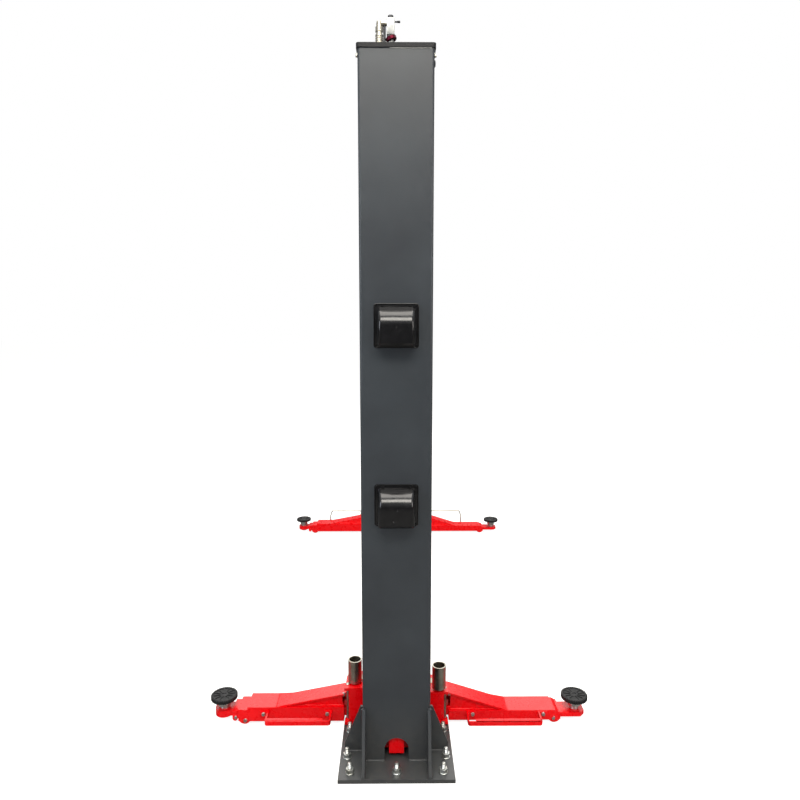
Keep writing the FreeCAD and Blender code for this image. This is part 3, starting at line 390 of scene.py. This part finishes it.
def hexagon(mesh, across, height, turn, edge=0.0012):
    """A nut or bolt head with its upper corners taken off."""
    corner = across / math.sqrt(3)
    made = bmesh.ops.create_cone(
        mesh, cap_ends=True, segments=6, radius1=corner, radius2=corner, depth=height)
    verts = made["verts"]
    bmesh.ops.translate(mesh, vec=(0, 0, height / 2), verts=verts)
    rim = [
        item for item in {link for vert in verts for link in vert.link_edges}
        if all(vert.co.z > height * 0.9 for vert in item.verts)
    ]
    bevelled = bmesh.ops.bevel(
        mesh, geom=rim, offset=edge, offset_type="OFFSET", segments=2, profile=0.5, affect="EDGES",
        material=-1)
    kept = {vert for vert in verts if vert.is_valid} | set(bevelled["verts"])
    bmesh.ops.transform(mesh, matrix=turn, verts=list(kept))


THREAD_PITCH = 0.0025
THREAD_DEPTH = 0.0014
THREAD_TIP = 0.002


def threaded_stud(mesh, radius, height, turn):
    """The end of a stud, with a chamfered tip and its thread as rings."""
    core = radius - THREAD_DEPTH
    profile = [(core, 0)]
    for ring in range(int((height - THREAD_TIP) / THREAD_PITCH)):
        profile.append((radius, ring * THREAD_PITCH + THREAD_PITCH / 2))
        profile.append((core, (ring + 1) * THREAD_PITCH))
    profile.extend([(core, height - 0.0008), (core - THREAD_DEPTH, height), (0, height)])
    lathe(mesh, profile, turn, steps=16)


def washer(mesh, radius, thick, turn):
    """A flat washer with its upper edge eased."""
    ease = thick * 0.3
    profile = [(0, 0), (radius, 0), (radius, thick - ease), (radius - ease, thick), (0, thick)]
    lathe(mesh, profile, turn, steps=28)


ANCHORS = [(1.688, 0.0), (1.688, -0.190), (1.688, 0.190), (1.596, -0.207), (1.596, 0.207),
           (1.424, -0.207), (1.424, 0.207)]
WASHER_RADIUS = 0.0185
WASHER_THICK = 0.003
NUT_ACROSS = 0.030
NUT_HEIGHT = 0.016
NUT_TOP = PLATE_TOP + WASHER_THICK + NUT_HEIGHT
STUD_RADIUS = 0.0095
STUD_ABOVE_NUT = 0.022
# No two nuts are tightened to the same angle.
NUT_TURN = 0.31

mesh = bmesh.new()
for step, (x, y) in enumerate(ANCHORS):
    washer(mesh, WASHER_RADIUS, WASHER_THICK, Matrix.Translation((x, y, PLATE_TOP)))
    spun = Matrix.Translation((x, y, PLATE_TOP + WASHER_THICK)) @ Matrix.Rotation(NUT_TURN * step, 4, "Z")
    hexagon(mesh, NUT_ACROSS, NUT_HEIGHT, spun, edge=0.002)
    threaded_stud(mesh, STUD_RADIUS, STUD_ABOVE_NUT, Matrix.Translation((x, y, NUT_TOP)))
twin_in_x(mesh)
make_piece("floor_anchors", mesh, bright_zinc, "columns")


# Lock covers: hoods over the two safety latches of each column, moulded in gloss black ABS.
# Each has a flat rim with a raised edge, four small screws, and moulding marks on its face.
# Gloss black ABS: nearly black, with sharp lamp glints that handling has smeared a little.
black_abs, tree, place = new_material("gloss_black_abs")
# moulded sheet sinks a little over its ribs, in waves of about 60 mm, which bends its glints
sink = add_node(tree, "ShaderNodeTexNoise", {"Vector": place, "Scale": 16.0, "Detail": 1.5})
bump = add_node(tree, "ShaderNodeBump", {"Height": sink.outputs["Fac"], "Strength": 0.25, "Distance": 0.004})
smears = add_node(
    tree, "ShaderNodeTexNoise", {"Vector": place, "Scale": 45.0, "Detail": 5.0, "Roughness": 0.65})
gloss = add_node(
    tree, "ShaderNodeMapRange",
    {"Value": smears.outputs["Fac"], "From Min": 0.35, "From Max": 0.7, "To Min": 0.15, "To Max": 0.24})
film = add_node(
    tree, "ShaderNodeMix",
    {"Factor": smears.outputs["Fac"], 6: linear("#0a0a0b"), 7: linear("#151517")}, data_type="RGBA")
shader = add_node(
    tree, "ShaderNodeBsdfPrincipled",
    {"Base Color": film.outputs[2], "Roughness": gloss.outputs[0], "IOR": 1.54, "Normal": bump.outputs[0]})
add_node(tree, "ShaderNodeOutputMaterial", {"Surface": shader.outputs[0]})

HOOD_CENTRES = (1.814, 1.112)
HOOD_OUT = 0.082
HOOD_TALL = 0.142
HOOD_HALF = 0.075
HOOD_SOFT = 0.012
HOOD_FOOT = 0.008
SHOULDER = 0.070
SHOULDER_STEPS = 16
RIM_HALF_WIDE = 0.0865
RIM_HALF_TALL = 0.084
RIM_THICK = 0.005
RIDGE_WIDE = 0.0035
RIDGE_INSET = 0.009
RIDGE_LOW = COLUMN_FACE + 0.003
RIDGE_HIGH = COLUMN_FACE + 0.008
TINY = 1e-6


def rounded_plate(mesh, low, high, corner, edge, turn=None):
    """A flat plate in the plane across X, with its corners rounded and its front edge eased."""
    made = bmesh.ops.create_cube(mesh, size=1)["verts"]
    low, high = Vector(low), Vector(high)
    bmesh.ops.scale(mesh, vec=high - low, verts=made)
    bmesh.ops.translate(mesh, vec=(low + high) / 2, verts=made)
    links = {link for vert in made for link in vert.link_edges}
    through = [link for link in links if abs(link.verts[0].co.x - link.verts[1].co.x) > TINY]
    cut = bmesh.ops.bevel(
        mesh, geom=through, offset=corner, offset_type="OFFSET", segments=5, profile=0.5, affect="EDGES",
        material=-1)
    verts = {vert for vert in made if vert.is_valid} | set(cut["verts"])
    front = {
        link for vert in verts for link in vert.link_edges
        if all(abs(end.co.x - high.x) < TINY for end in link.verts) and len(link.link_faces) == 2
        and any(abs(face.normal.x) < 0.5 for face in link.link_faces)
    }
    cut = bmesh.ops.bevel(
        mesh, geom=list(front), offset=edge, offset_type="OFFSET", segments=2, profile=0.5, affect="EDGES",
        material=-1)
    verts = {vert for vert in verts if vert.is_valid} | set(cut["verts"])
    if turn:
        bmesh.ops.transform(mesh, matrix=turn, verts=list(verts))


def hood(mesh, centre):
    """A box with one great rounded shoulder, drawn in towards its front and softened down its sides."""
    low, high = centre - HOOD_TALL / 2, centre + HOOD_TALL / 2
    wall = COLUMN_FACE - 0.001
    front = COLUMN_FACE + HOOD_OUT
    outline = [(wall, low), (front - HOOD_FOOT, low), (front, low + HOOD_FOOT)]
    for step in range(SHOULDER_STEPS + 1):
        turn = math.pi / 2 * step / SHOULDER_STEPS
        outline.append((
            front - SHOULDER + SHOULDER * math.cos(turn), high - SHOULDER + SHOULDER * math.sin(turn)))
    outline.append((wall, high))
    ring = [mesh.verts.new((x, -HOOD_HALF, z)) for x, z in outline]
    face = mesh.faces.new(ring)
    grown = bmesh.ops.extrude_face_region(mesh, geom=[face])["geom"]
    far_ring = [item for item in grown if isinstance(item, bmesh.types.BMVert)]
    bmesh.ops.translate(mesh, vec=(0, 2 * HOOD_HALF, 0), verts=far_ring)
    # moulded parts narrow towards the front and the top, so that they leave the mould
    for vert in ring + far_ring:
        depth = (vert.co.x - COLUMN_FACE) / HOOD_OUT
        rise = (vert.co.z - low) / HOOD_TALL
        vert.co.y *= 1 - max(0, depth) * (0.05 + 0.05 * rise) - 0.02 * rise
    sides = {
        link for ring_part in (ring, far_ring) for vert in ring_part for link in vert.link_edges
        if all(end in ring_part for end in link.verts)
        and not all(end.co.x < COLUMN_FACE for end in link.verts)
    }
    bmesh.ops.bevel(
        mesh, geom=list(sides), offset=HOOD_SOFT, offset_type="OFFSET", segments=4, profile=0.5,
        affect="EDGES", material=-1)


def pan_head(mesh, place, direction, radius, tall):
    """A round screw head with a round socket sunk in its top."""
    lathe(
        mesh,
        [(0, tall * 0.35), (radius * 0.45, tall * 0.35), (radius * 0.5, tall), (radius * 0.78, tall * 0.92),
         (radius, tall * 0.5), (radius, 0)],
        facing(place, direction), steps=14)


OUTWARDS = (1, 0, 0)
RIM_SCREW_PLACE = (0.0785, 0.0765)
TOWER_PLACE = (0.052, 0.0695)
TOWER = [(0, 0.012), (0.0035, 0.012), (0.0035, 0.022), (0.0065, 0.022), (0.0075, 0)]
# The round marks where the plastic ran into the mould, as places across and up.
GATE_MARKS = ((0.0, 1.811), (0.0027, 1.113), (-0.0107, 1.0695))
GATE_RING = [(0, 0.0006), (0.0022, 0.0002), (0.003, 0.0008), (0.0038, -0.0004)]

mesh = bmesh.new()
for centre in HOOD_CENTRES:
    hood(mesh, centre)
    rounded_plate(
        mesh, (COLUMN_FACE, -RIM_HALF_WIDE, centre - RIM_HALF_TALL),
        (COLUMN_FACE + RIM_THICK, RIM_HALF_WIDE, centre + RIM_HALF_TALL), 0.010, 0.0015)
    # raised edge round the rim, as four ridges with their ends in the corners
    for hand in (-1, 1):
        across = sorted((hand * (RIM_HALF_WIDE - RIDGE_WIDE), hand * RIM_HALF_WIDE))
        rounded_plate(
            mesh, (RIDGE_LOW, across[0], centre - RIM_HALF_TALL + RIDGE_INSET),
            (RIDGE_HIGH, across[1], centre + RIM_HALF_TALL - RIDGE_INSET), 0.0012, 0.001)
        tall = sorted((centre + hand * (RIM_HALF_TALL - RIDGE_WIDE), centre + hand * RIM_HALF_TALL))
        rounded_plate(
            mesh, (RIDGE_LOW, -RIM_HALF_WIDE + RIDGE_INSET, tall[0]),
            (RIDGE_HIGH, RIM_HALF_WIDE - RIDGE_INSET, tall[1]), 0.0012, 0.001)
        for rise in (-1, 1):
            spot = (COLUMN_FACE + RIM_THICK, hand * RIM_SCREW_PLACE[0], centre + rise * RIM_SCREW_PLACE[1])
            pan_head(mesh, spot, OUTWARDS, 0.0045, 0.003)
        # screw towers in the upper corners of the hood
        spot = (COLUMN_FACE, hand * TOWER_PLACE[0], centre + TOWER_PLACE[1])
        lathe(mesh, TOWER, facing(spot, OUTWARDS), steps=16)
for across, rise in GATE_MARKS:
    lathe(mesh, GATE_RING, facing((COLUMN_FACE + HOOD_OUT, across, rise), OUTWARDS), steps=16)


def to_far_side(mesh):
    """Turns a near piece into its mirror image on the far side."""
    bmesh.ops.scale(mesh, vec=(-1, 1, 1), verts=mesh.verts)
    bmesh.ops.reverse_faces(mesh, faces=mesh.faces)


def both_sides(mesh):
    """A near piece and its mirror image, each with the name of its side."""
    twin = mesh.copy()
    to_far_side(twin)
    return (("far", twin), ("near", mesh))


for side, twin in both_sides(mesh):
    bmesh.ops.recalc_face_normals(twin, faces=twin.faces)
    hoods = make_piece(f"{side}_latch_hoods", twin, black_abs, "columns", crease=38)
    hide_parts(f"{side}_lock_covers")


# Caps: folded lids in black powder coat, held by hexagon screws through the column's sides.
# A blackened steel grommet closes the spare hole below them on one side.
# Blackened steel: oil-dark, with a dull metal glint where it turns to the light.
dark_steel = worked_metal("blackened_steel", "#3a3b3d", "#2b2c2e", 0.36, 0.1)
# Black powder coat: flatter than the graphite one, so that the caps read as a dark line.
# Its warmer grey towards the floor is partly dust and partly painted floor light.
black_coat = powder_coat("black_powder_coat", "#141517", "#1b1c1e", "#45423d", 0.50, 0.2, sheen=0.25)
for side in SIDES:
    dress(f"{side}_cap", black_coat)

CAP_SCREWS_X = (1.600, 1.440)
CAP_SCREWS_Z = 2.790
GROMMET_Z = 2.761


def washer_screw(mesh, spot, washer_radius, washer_thick, across, tall, edge=0.001):
    """A small hexagon screw head on its washer."""
    washer(mesh, washer_radius, washer_thick, spot)
    hexagon(mesh, across, tall, spot @ Matrix.Translation((0, 0, washer_thick)), edge=edge)


mesh = bmesh.new()
for hand in (-1, 1):
    for x in CAP_SCREWS_X:
        spot = facing((x, hand * COLUMN_HALF, CAP_SCREWS_Z), (0, hand, 0))
        washer_screw(mesh, spot, 0.010, 0.0016, 0.013, 0.0055)
twin_in_x(mesh)
make_piece("cap_screws", mesh, bright_zinc, "columns")

mesh = bmesh.new()
lathe(
    mesh, [(0, 0.004), (0.006, 0.0045), (0.011, 0.0035), (0.013, 0)],
    facing((CAP_SCREWS_X[0], COLUMN_HALF, GROMMET_Z), (0, 1, 0)), steps=20)
twin_in_x(mesh)
make_piece("spare_hole_grommets", mesh, dark_steel, "columns")

# A bead of silicone closes the joint below the cap, over the wider part of the outer face.
# Pale joint sealant: a dull off-white, lumpy where it was smoothed by hand, and soiled in its hollows.
sealant, tree, place = new_material("pale_joint_sealant")
lumps = add_node(tree, "ShaderNodeTexNoise", {"Vector": place, "Scale": 90.0, "Detail": 2.0})
bump = add_node(tree, "ShaderNodeBump", {"Height": lumps.outputs["Fac"], "Strength": 0.3, "Distance": 0.001})
soiled = add_node(
    tree, "ShaderNodeMix", {"Factor": lumps.outputs["Fac"], 6: linear("#b4b4ae"), 7: linear("#8e8f8a")},
    data_type="RGBA")
shader = add_node(
    tree, "ShaderNodeBsdfPrincipled",
    {"Base Color": soiled.outputs[2], "Roughness": 0.5, "IOR": 1.43, "Normal": bump.outputs[0]})
add_node(tree, "ShaderNodeOutputMaterial", {"Surface": shader.outputs[0]})

CAP_JOINT_Z = 2.8085
SEALANT_START = -0.024

mesh = bmesh.new()
lathe(
    mesh, [(0, 0), (0.0014, 0.002), (0.0019, 0.030), (0.0016, 0.090), (0.0019, 0.150), (0, 0.156)],
    facing((COLUMN_FACE + 0.0004, SEALANT_START, CAP_JOINT_Z), (0, 1, 0)), steps=10)
twin_in_x(mesh)
make_piece("cap_sealant", mesh, sealant, "columns", crease=60)


# Line fittings on the cap: a crimped zinc ferrule with its elbow, a valve block and a union.
# The block is milled aluminium with a dark steel plug, and the union ring is anodised maroon.
# Yellow-passivated zinc: warmer and a little duller than the bright plate of the anchors.
warm_zinc = worked_metal("warm_zinc_plate", "#b2aea2", "#928c7e", 0.34, 0.12)
# Milled aluminium: a pale metal with broad soft highlights.
pale_aluminium = worked_metal("pale_milled_aluminium", "#b4b6b5", "#a2a4a3", 0.50, 0.05)
# Maroon anodised aluminium: the dye shows in the metal's own reflections.
maroon_anodised = worked_metal("maroon_anodised_aluminium", "#5e1a28", "#481420", 0.36, 0.1)
FITTINGS_X = (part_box("near_line_fittings")[0].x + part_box("near_line_fittings")[1].x) / 2
CAP_TOP = 2.826
FERRULE_Y = -0.063
FEED_Y = -0.043
BLOCK_Y = -0.020
CRIMPS = 7
CRIMP_START = 0.010
CRIMP_PITCH = 0.008
FERRULE_RADIUS = 0.0150
CRIMP_RADIUS = 0.0138
UNION_LEAN = math.radians(20)


def on_cap(y, rise=0.0):
    """A place on the fittings' line, some height above the cap."""
    return FITTINGS_X, y, CAP_TOP + rise


zinc_part = bmesh.new()
crimped = [(0, 0), (FERRULE_RADIUS, 0)]
for step in range(CRIMPS):
    foot = CRIMP_START + step * CRIMP_PITCH
    crimped.extend([
        (FERRULE_RADIUS, foot), (CRIMP_RADIUS, foot + 0.0016), (CRIMP_RADIUS, foot + 0.0048),
        (FERRULE_RADIUS, foot + 0.0064)])
crimped.extend([
    (FERRULE_RADIUS, 0.070), (0.0120, 0.072), (0.0120, 0.080), (0.0148, 0.081), (0.0148, 0.097),
    (0.011, 0.099), (0.011, 0.112), (0.0095, 0.118), (0.005, 0.121), (0, 0.121)])
lathe(zinc_part, crimped, Matrix.Translation(on_cap(FERRULE_Y)))
elbow = [
    (0, 0), (0.0088, 0), (0.0088, 0.010), (0.0105, 0.011), (0.0105, 0.019), (0.0088, 0.020), (0.0088, 0.028),
    (0, 0.028)]
lathe(zinc_part, elbow, facing(on_cap(FERRULE_Y, 0.110), (0, 1, 0)))

aluminium_part = bmesh.new()
rounded_plate(
    aluminium_part, (FITTINGS_X - 0.015, -0.035, CAP_TOP + 0.067),
    (FITTINGS_X + 0.015, -0.005, CAP_TOP + 0.127), 0.003, 0.002)
block_stem = [
    (0, 0), (0.0125, 0), (0.0125, 0.012), (0.0135, 0.014), (0.0135, 0.030), (0.0115, 0.032), (0.0115, 0.067),
    (0, 0.067)]
lathe(aluminium_part, block_stem, Matrix.Translation(on_cap(BLOCK_Y)))

maroon_part = bmesh.new()
union = [
    (0.0128, -0.0075), (0.0185, -0.0075), (0.0208, -0.005), (0.0208, 0.005), (0.0185, 0.0075),
    (0.0128, 0.0075), (0.0128, -0.0075)]
leaning = Matrix.Translation(on_cap(-0.018, 0.0565)) @ Matrix.Rotation(UNION_LEAN, 4, "X")
lathe(maroon_part, union, leaning, steps=32)

dark_part = bmesh.new()
hexagon(dark_part, 0.018, 0.010, Matrix.Translation(on_cap(BLOCK_Y, 0.129)), edge=0.001)
collar = [(0, 0), (0.008, 0), (0.008, 0.003), (0, 0.003)]
lathe(dark_part, collar, Matrix.Translation(on_cap(BLOCK_Y, 0.1265)), steps=18)
side_port = [(0, 0), (0.003, 0), (0.003, 0.010), (0.0042, 0.011), (0.0042, 0.020), (0.003, 0.021), (0, 0.021)]
lathe(dark_part, side_port, facing(on_cap(-0.005, 0.117), (0, 1, 0)), steps=14)
feed_line = [(0, 0), (0.0048, 0), (0.0048, 0.104), (0.003, 0.107), (0, 0.107)]
lathe(dark_part, feed_line, Matrix.Translation(on_cap(FEED_Y)), steps=16)

for part, name, material in (
    (zinc_part, "crimped_ferrule", warm_zinc),
    (aluminium_part, "valve_block", pale_aluminium),
    (maroon_part, "union_ring", maroon_anodised),
    (dark_part, "plug_and_feed_line", dark_steel),
):
    for side, twin in both_sides(part):
        fitting = make_piece(f"{side}_{name}", twin, material, "columns")
        if part is zinc_part:
            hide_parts(f"{side}_line_fittings")


# Head sheaves and lift cylinders: the sheave turns on a zinc plated axle through the column.
# The cylinder stands inside the column and is painted black.
for side in SIDES:
    dress(f"{side}_head_sheave", warm_zinc)
    dress(f"{side}_lift_cylinder", black_coat)


# Carriages and arms: welded plate and box tube in gloss signal red powder coat.
# Pins, height adapters and arm locks are zinc plated, and the slide shoes are nylon.
# Gloss signal red powder coat: a saturated red whose level tops mirror the lamps as pale salmon.
# Its paler salmon tint in the lowest 30 mm is partly dust and partly painted floor light.
red_coat = powder_coat(
    "signal_red_powder_coat", "#e0000a", "#e6020c", "#b8483c", 0.27, 0.03, dust_and_floor_light_top=0.03, sheen=0.28)
# Cast nylon: a waxy off-white that lets a little light in, clouded by grease.
nylon, tree, place = new_material("white_cast_nylon")
smudges = add_node(tree, "ShaderNodeTexNoise", {"Vector": place, "Scale": 60.0, "Detail": 4.0})
worn = add_node(
    tree, "ShaderNodeMix",
    {"Factor": smudges.outputs["Fac"], 6: linear("#d8d4c6"), 7: linear("#b9b3a2")}, data_type="RGBA")
shader = add_node(
    tree, "ShaderNodeBsdfPrincipled",
    {"Base Color": worn.outputs[2], "Roughness": 0.5, "IOR": 1.53, "Subsurface Weight": 0.05,
     "Subsurface Scale": 0.004})
add_node(tree, "ShaderNodeOutputMaterial", {"Surface": shader.outputs[0]})

for side in SIDES:
    dress(f"{side}_carriage", red_coat)
    dress(f"{side}_slide_shoes", nylon)
    for node_name in ("pivot_pins", "height_adapters", "arm_locks"):
        dress(f"{side}_{node_name}", warm_zinc)
    for node_name in ("left_arm", "left_middle_tube", "left_inner_tube", "right_arm", "right_inner_tube"):
        dress(f"{side}_{node_name}", red_coat)
for hand in ("left", "right"):
    dress(f"near_{hand}_foot_guard", red_coat)
    dress(f"far_{hand}_foot_guard", warm_zinc)


# Weld beads on the arms: where the spine stands on the box, across the foot of its sloping plate,
# and round the collar at the box's end. They are coated with the arm.
HANDS = {"left": -1, "right": 1}
PIN_X = 1.302
SPINE_HALF = 0.040
ARM_BOX = {
    "left": {"half": 0.056, "top": 0.086, "crease": 0.548, "end": 0.678, "collar_top": 0.072},
    "right": {"half": 0.054, "top": 0.065, "crease": 0.507, "end": 0.719, "collar_top": 0.053},
}
SPINE_BEAD_START = 0.243
SPINE_BEAD_END = 0.03
SPINE_BEAD = 0.0042
CREASE_BEAD = 0.003
COLLAR_BEAD = 0.0035


def bead_across(mesh, half, y, z, radius):
    """A weld bead across an arm, from side to side."""
    weld_bead(mesh, (PIN_X - half, y, z), (PIN_X + half, y, z), radius)


for hand, sign in HANDS.items():
    box = ARM_BOX[hand]
    top = box["top"]
    mesh = bmesh.new()
    for face in (PIN_X - SPINE_HALF, PIN_X + SPINE_HALF):
        foot_end = box["crease"] - SPINE_BEAD_END
        weld_bead(mesh, (face, sign * SPINE_BEAD_START, top), (face, sign * foot_end, top), SPINE_BEAD)
    reach = box["half"] - 0.006
    bead_across(mesh, reach, sign * box["crease"], top, CREASE_BEAD)
    bead_across(mesh, reach - 0.004, sign * box["end"], box["collar_top"], COLLAR_BEAD)
    for side, twin in both_sides(mesh):
        make_piece(f"{side}_{hand}_arm_welds", twin, red_coat, f"{side}_{hand}_arm", crease=70)


# Near foot guards: strips of sheet steel whose upper edges are folded back towards the arm.
# The fold stiffens the strip, and it is coated with the arm.
GUARD_FACE = 1.438
FOLD_DEEP = 0.024
FOLD_THICK = 0.003
FOLD = {"left": (0.330, 0.584, 0.070), "right": (0.355, 0.650, 0.063)}
for hand, sign in HANDS.items():
    start, end, top = FOLD[hand]
    across = sorted((sign * start, sign * end))
    mesh = bmesh.new()
    rounded_plate(
        mesh, (GUARD_FACE - FOLD_DEEP, across[0], top - FOLD_THICK), (GUARD_FACE - 0.001, across[1], top),
        0.001, 0.001)
    make_piece(f"near_{hand}_guard_fold", mesh, red_coat, f"near_{hand}_arm")


# Hexagon screws on the arms: two hold each near foot guard, one the gear quadrant's side,
# and one in each hanging lobe stops the stage inside. They are zinc plated.
ARM_SCREWS = {
    "left": [(1.364, 0.315, 0.057), (1.364, 0.6045, 0.057), (1.342, 0.241, 0.1395), (1.355, 0.690, 0.021)],
    "right": [(1.362, 0.348, 0.050), (1.362, 0.670, 0.050), (1.342, 0.241, 0.1395), (1.353, 0.719, 0.025)],
}
# The first two of each arm hold its foot guard, and only the near guards are held by screws.
GUARD_SCREWS = 2
SCREW_SUNK = 0.0002
SCREW_TURN = 0.4
for hand, sign in HANDS.items():
    for side in SIDES:
        mesh = bmesh.new()
        spots = ARM_SCREWS[hand] if side == "near" else ARM_SCREWS[hand][GUARD_SCREWS:]
        for step, (x, y, z) in enumerate(spots):
            turned = Matrix.Rotation(SCREW_TURN * step, 4, "Z")
            spot = facing((x - SCREW_SUNK, sign * y, z), OUTWARDS) @ turned
            washer_screw(mesh, spot, 0.0088, 0.0015, 0.013, 0.0058)
        if side == "far":
            to_far_side(mesh)
        make_piece(f"{side}_{hand}_arm_screws", mesh, bright_zinc, f"{side}_{hand}_arm")

STOP_SCREW_PLACE = (1.3468, -0.7355, 0.030)

mesh = bmesh.new()
washer_screw(mesh, facing(STOP_SCREW_PLACE, OUTWARDS), 0.0072, 0.0012, 0.010, 0.0048, edge=0.0008)
for side, twin in both_sides(mesh):
    make_piece(f"{side}_middle_stop_screw", twin, bright_zinc, f"{side}_left_middle_tube")


# Arm locks and pins: a pressed knob on the top of each lock rod lifts it by hand.
# Each pivot pin has a grease nipple in its head. Both are bright zinc plated.
LOCK_TOPS = {"left": 0.200, "right": 0.180}
LOCK_ROD = (1.3556, 0.220)
KNOB_DOWN = 0.0065
PIN_Y = 0.175
KNOB = [(0.0068, 0), (0.0085, 0), (0.0092, 0.002), (0.0092, 0.005), (0.0078, 0.007), (0.0068, 0.007)]
NIPPLE = [
    (0, 0), (0.0045, 0), (0.0045, 0.003), (0.0028, 0.0035), (0.0028, 0.0055), (0.0034, 0.0065),
    (0.0022, 0.0085), (0, 0.0088)]

mesh = bmesh.new()
for hand, sign in HANDS.items():
    top = LOCK_TOPS[hand]
    lathe(mesh, KNOB, Matrix.Translation((LOCK_ROD[0], sign * LOCK_ROD[1], top - KNOB_DOWN)), steps=18)
    lathe(mesh, NIPPLE, Matrix.Translation((PIN_X, sign * PIN_Y, top)), steps=16)
for side, twin in both_sides(mesh):
    make_piece(f"{side}_knobs_and_nipples", twin, bright_zinc, f"{side}_carriage")


# Lifting pads: zinc plated screws that carry black moulded rubber pads.
# Each pad has a thick ribbed rim, a dished top with radial ribs, and a hub over the screw.
# Moulded rubber: a matt black with a fine grain, greyed in clouds by its bloom and by handling.
rubber, tree, place = new_material("black_moulded_rubber")
grain = add_node(tree, "ShaderNodeTexNoise", {"Vector": place, "Scale": 420.0, "Detail": 3.0})
bloom = add_node(tree, "ShaderNodeTexNoise", {"Vector": place, "Scale": 24.0, "Detail": 5.0})
bump = add_node(tree, "ShaderNodeBump", {"Height": grain.outputs["Fac"], "Strength": 0.3, "Distance": 0.0006})
tint = add_node(
    tree, "ShaderNodeMix",
    {"Factor": bloom.outputs["Fac"], 6: linear("#0c0c0d"), 7: linear("#19191b")}, data_type="RGBA")
shader = add_node(
    tree, "ShaderNodeBsdfPrincipled",
    {"Base Color": tint.outputs[2], "Roughness": 0.58, "IOR": 1.45, "Normal": bump.outputs[0]})
add_node(tree, "ShaderNodeOutputMaterial", {"Surface": shader.outputs[0]})

# How far out each pad stands along its arm, and the height of its underside.
PADS = {"left": (0.796, 0.097), "right": (0.826, 0.090)}
PAD_PROFILE = [
    (0, 0.007), (0.0141, 0.007), (0.0141, 0), (0.0520, 0), (0.0560, 0.0018), (0.0575, 0.005), (0.0575, 0.017),
    (0.0560, 0.0205), (0.0530, 0.022), (0.0495, 0.0215), (0.0478, 0.0175), (0.0190, 0.0172), (0.0172, 0.0205),
    (0.0140, 0.0216), (0.0095, 0.0214), (0.0080, 0.0185), (0, 0.0180)]
RIM_RIBS = 36
TOP_RIBS = 12
# The screw's thread is made as rings, as far apart as the real turns.
SCREW_TURNS = 13
SCREW_PITCH = 0.0029
SCREW_FLANK = 0.0014
SCREW_CREST = 0.0204
SCREW_ROOT = 0.0196
SCREW_DOWN = 0.027
SCREW_COLLAR = [(0.0288, 0.003), (0.0296, 0.004), (0.0296, 0.009), (0.0288, 0.010)]

for hand, sign in HANDS.items():
    reach, low = PADS[hand]
    centre = Matrix.Translation((PIN_X, sign * reach, low))
    mesh = bmesh.new()
    lathe(mesh, PAD_PROFILE, centre, steps=64)
    for step in range(RIM_RIBS):
        turn = centre @ Matrix.Rotation(2 * math.pi * step / RIM_RIBS, 4, "Z")
        rounded_plate(mesh, (0.0555, -0.0028, 0.0022), (0.0600, 0.0028, 0.0200), 0.0012, 0.0014, turn)
    for step in range(TOP_RIBS):
        turn = centre @ Matrix.Rotation(2 * math.pi * (step + 0.5) / TOP_RIBS, 4, "Z")
        rib = bmesh.ops.create_cube(mesh, size=1)["verts"]
        bmesh.ops.scale(mesh, vec=(0.032, 0.0036, 0.006), verts=rib)
        bmesh.ops.translate(mesh, vec=(0.0335, 0, 0.0175), verts=rib)
        bmesh.ops.transform(mesh, matrix=turn, verts=rib)
    threads = bmesh.new()
    turned = [(SCREW_ROOT, 0)]
    for ring in range(SCREW_TURNS):
        turned.append((SCREW_CREST, ring * SCREW_PITCH + SCREW_FLANK))
        turned.append((SCREW_ROOT, (ring + 1) * SCREW_PITCH))
    thread_foot = low - SCREW_DOWN - SCREW_TURNS * SCREW_PITCH
    lathe(threads, turned, Matrix.Translation((PIN_X, sign * reach, thread_foot)), steps=36)
    lathe(threads, SCREW_COLLAR, Matrix.Translation((PIN_X, sign * reach, low - SCREW_DOWN)), steps=40)
    rubber_parts = dict(both_sides(mesh))
    screw_parts = dict(both_sides(threads))
    for side in SIDES:
        name = f"{side}_{hand}"
        pad = make_piece(f"{name}_moulded_pad", rubber_parts[side], rubber, f"{name}_pad")
        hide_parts(f"{name}_pad")
        make_piece(f"{name}_screw_thread", screw_parts[side], bright_zinc, f"{name}_pad")
        dress(f"{name}_pad_screw", bright_zinc)
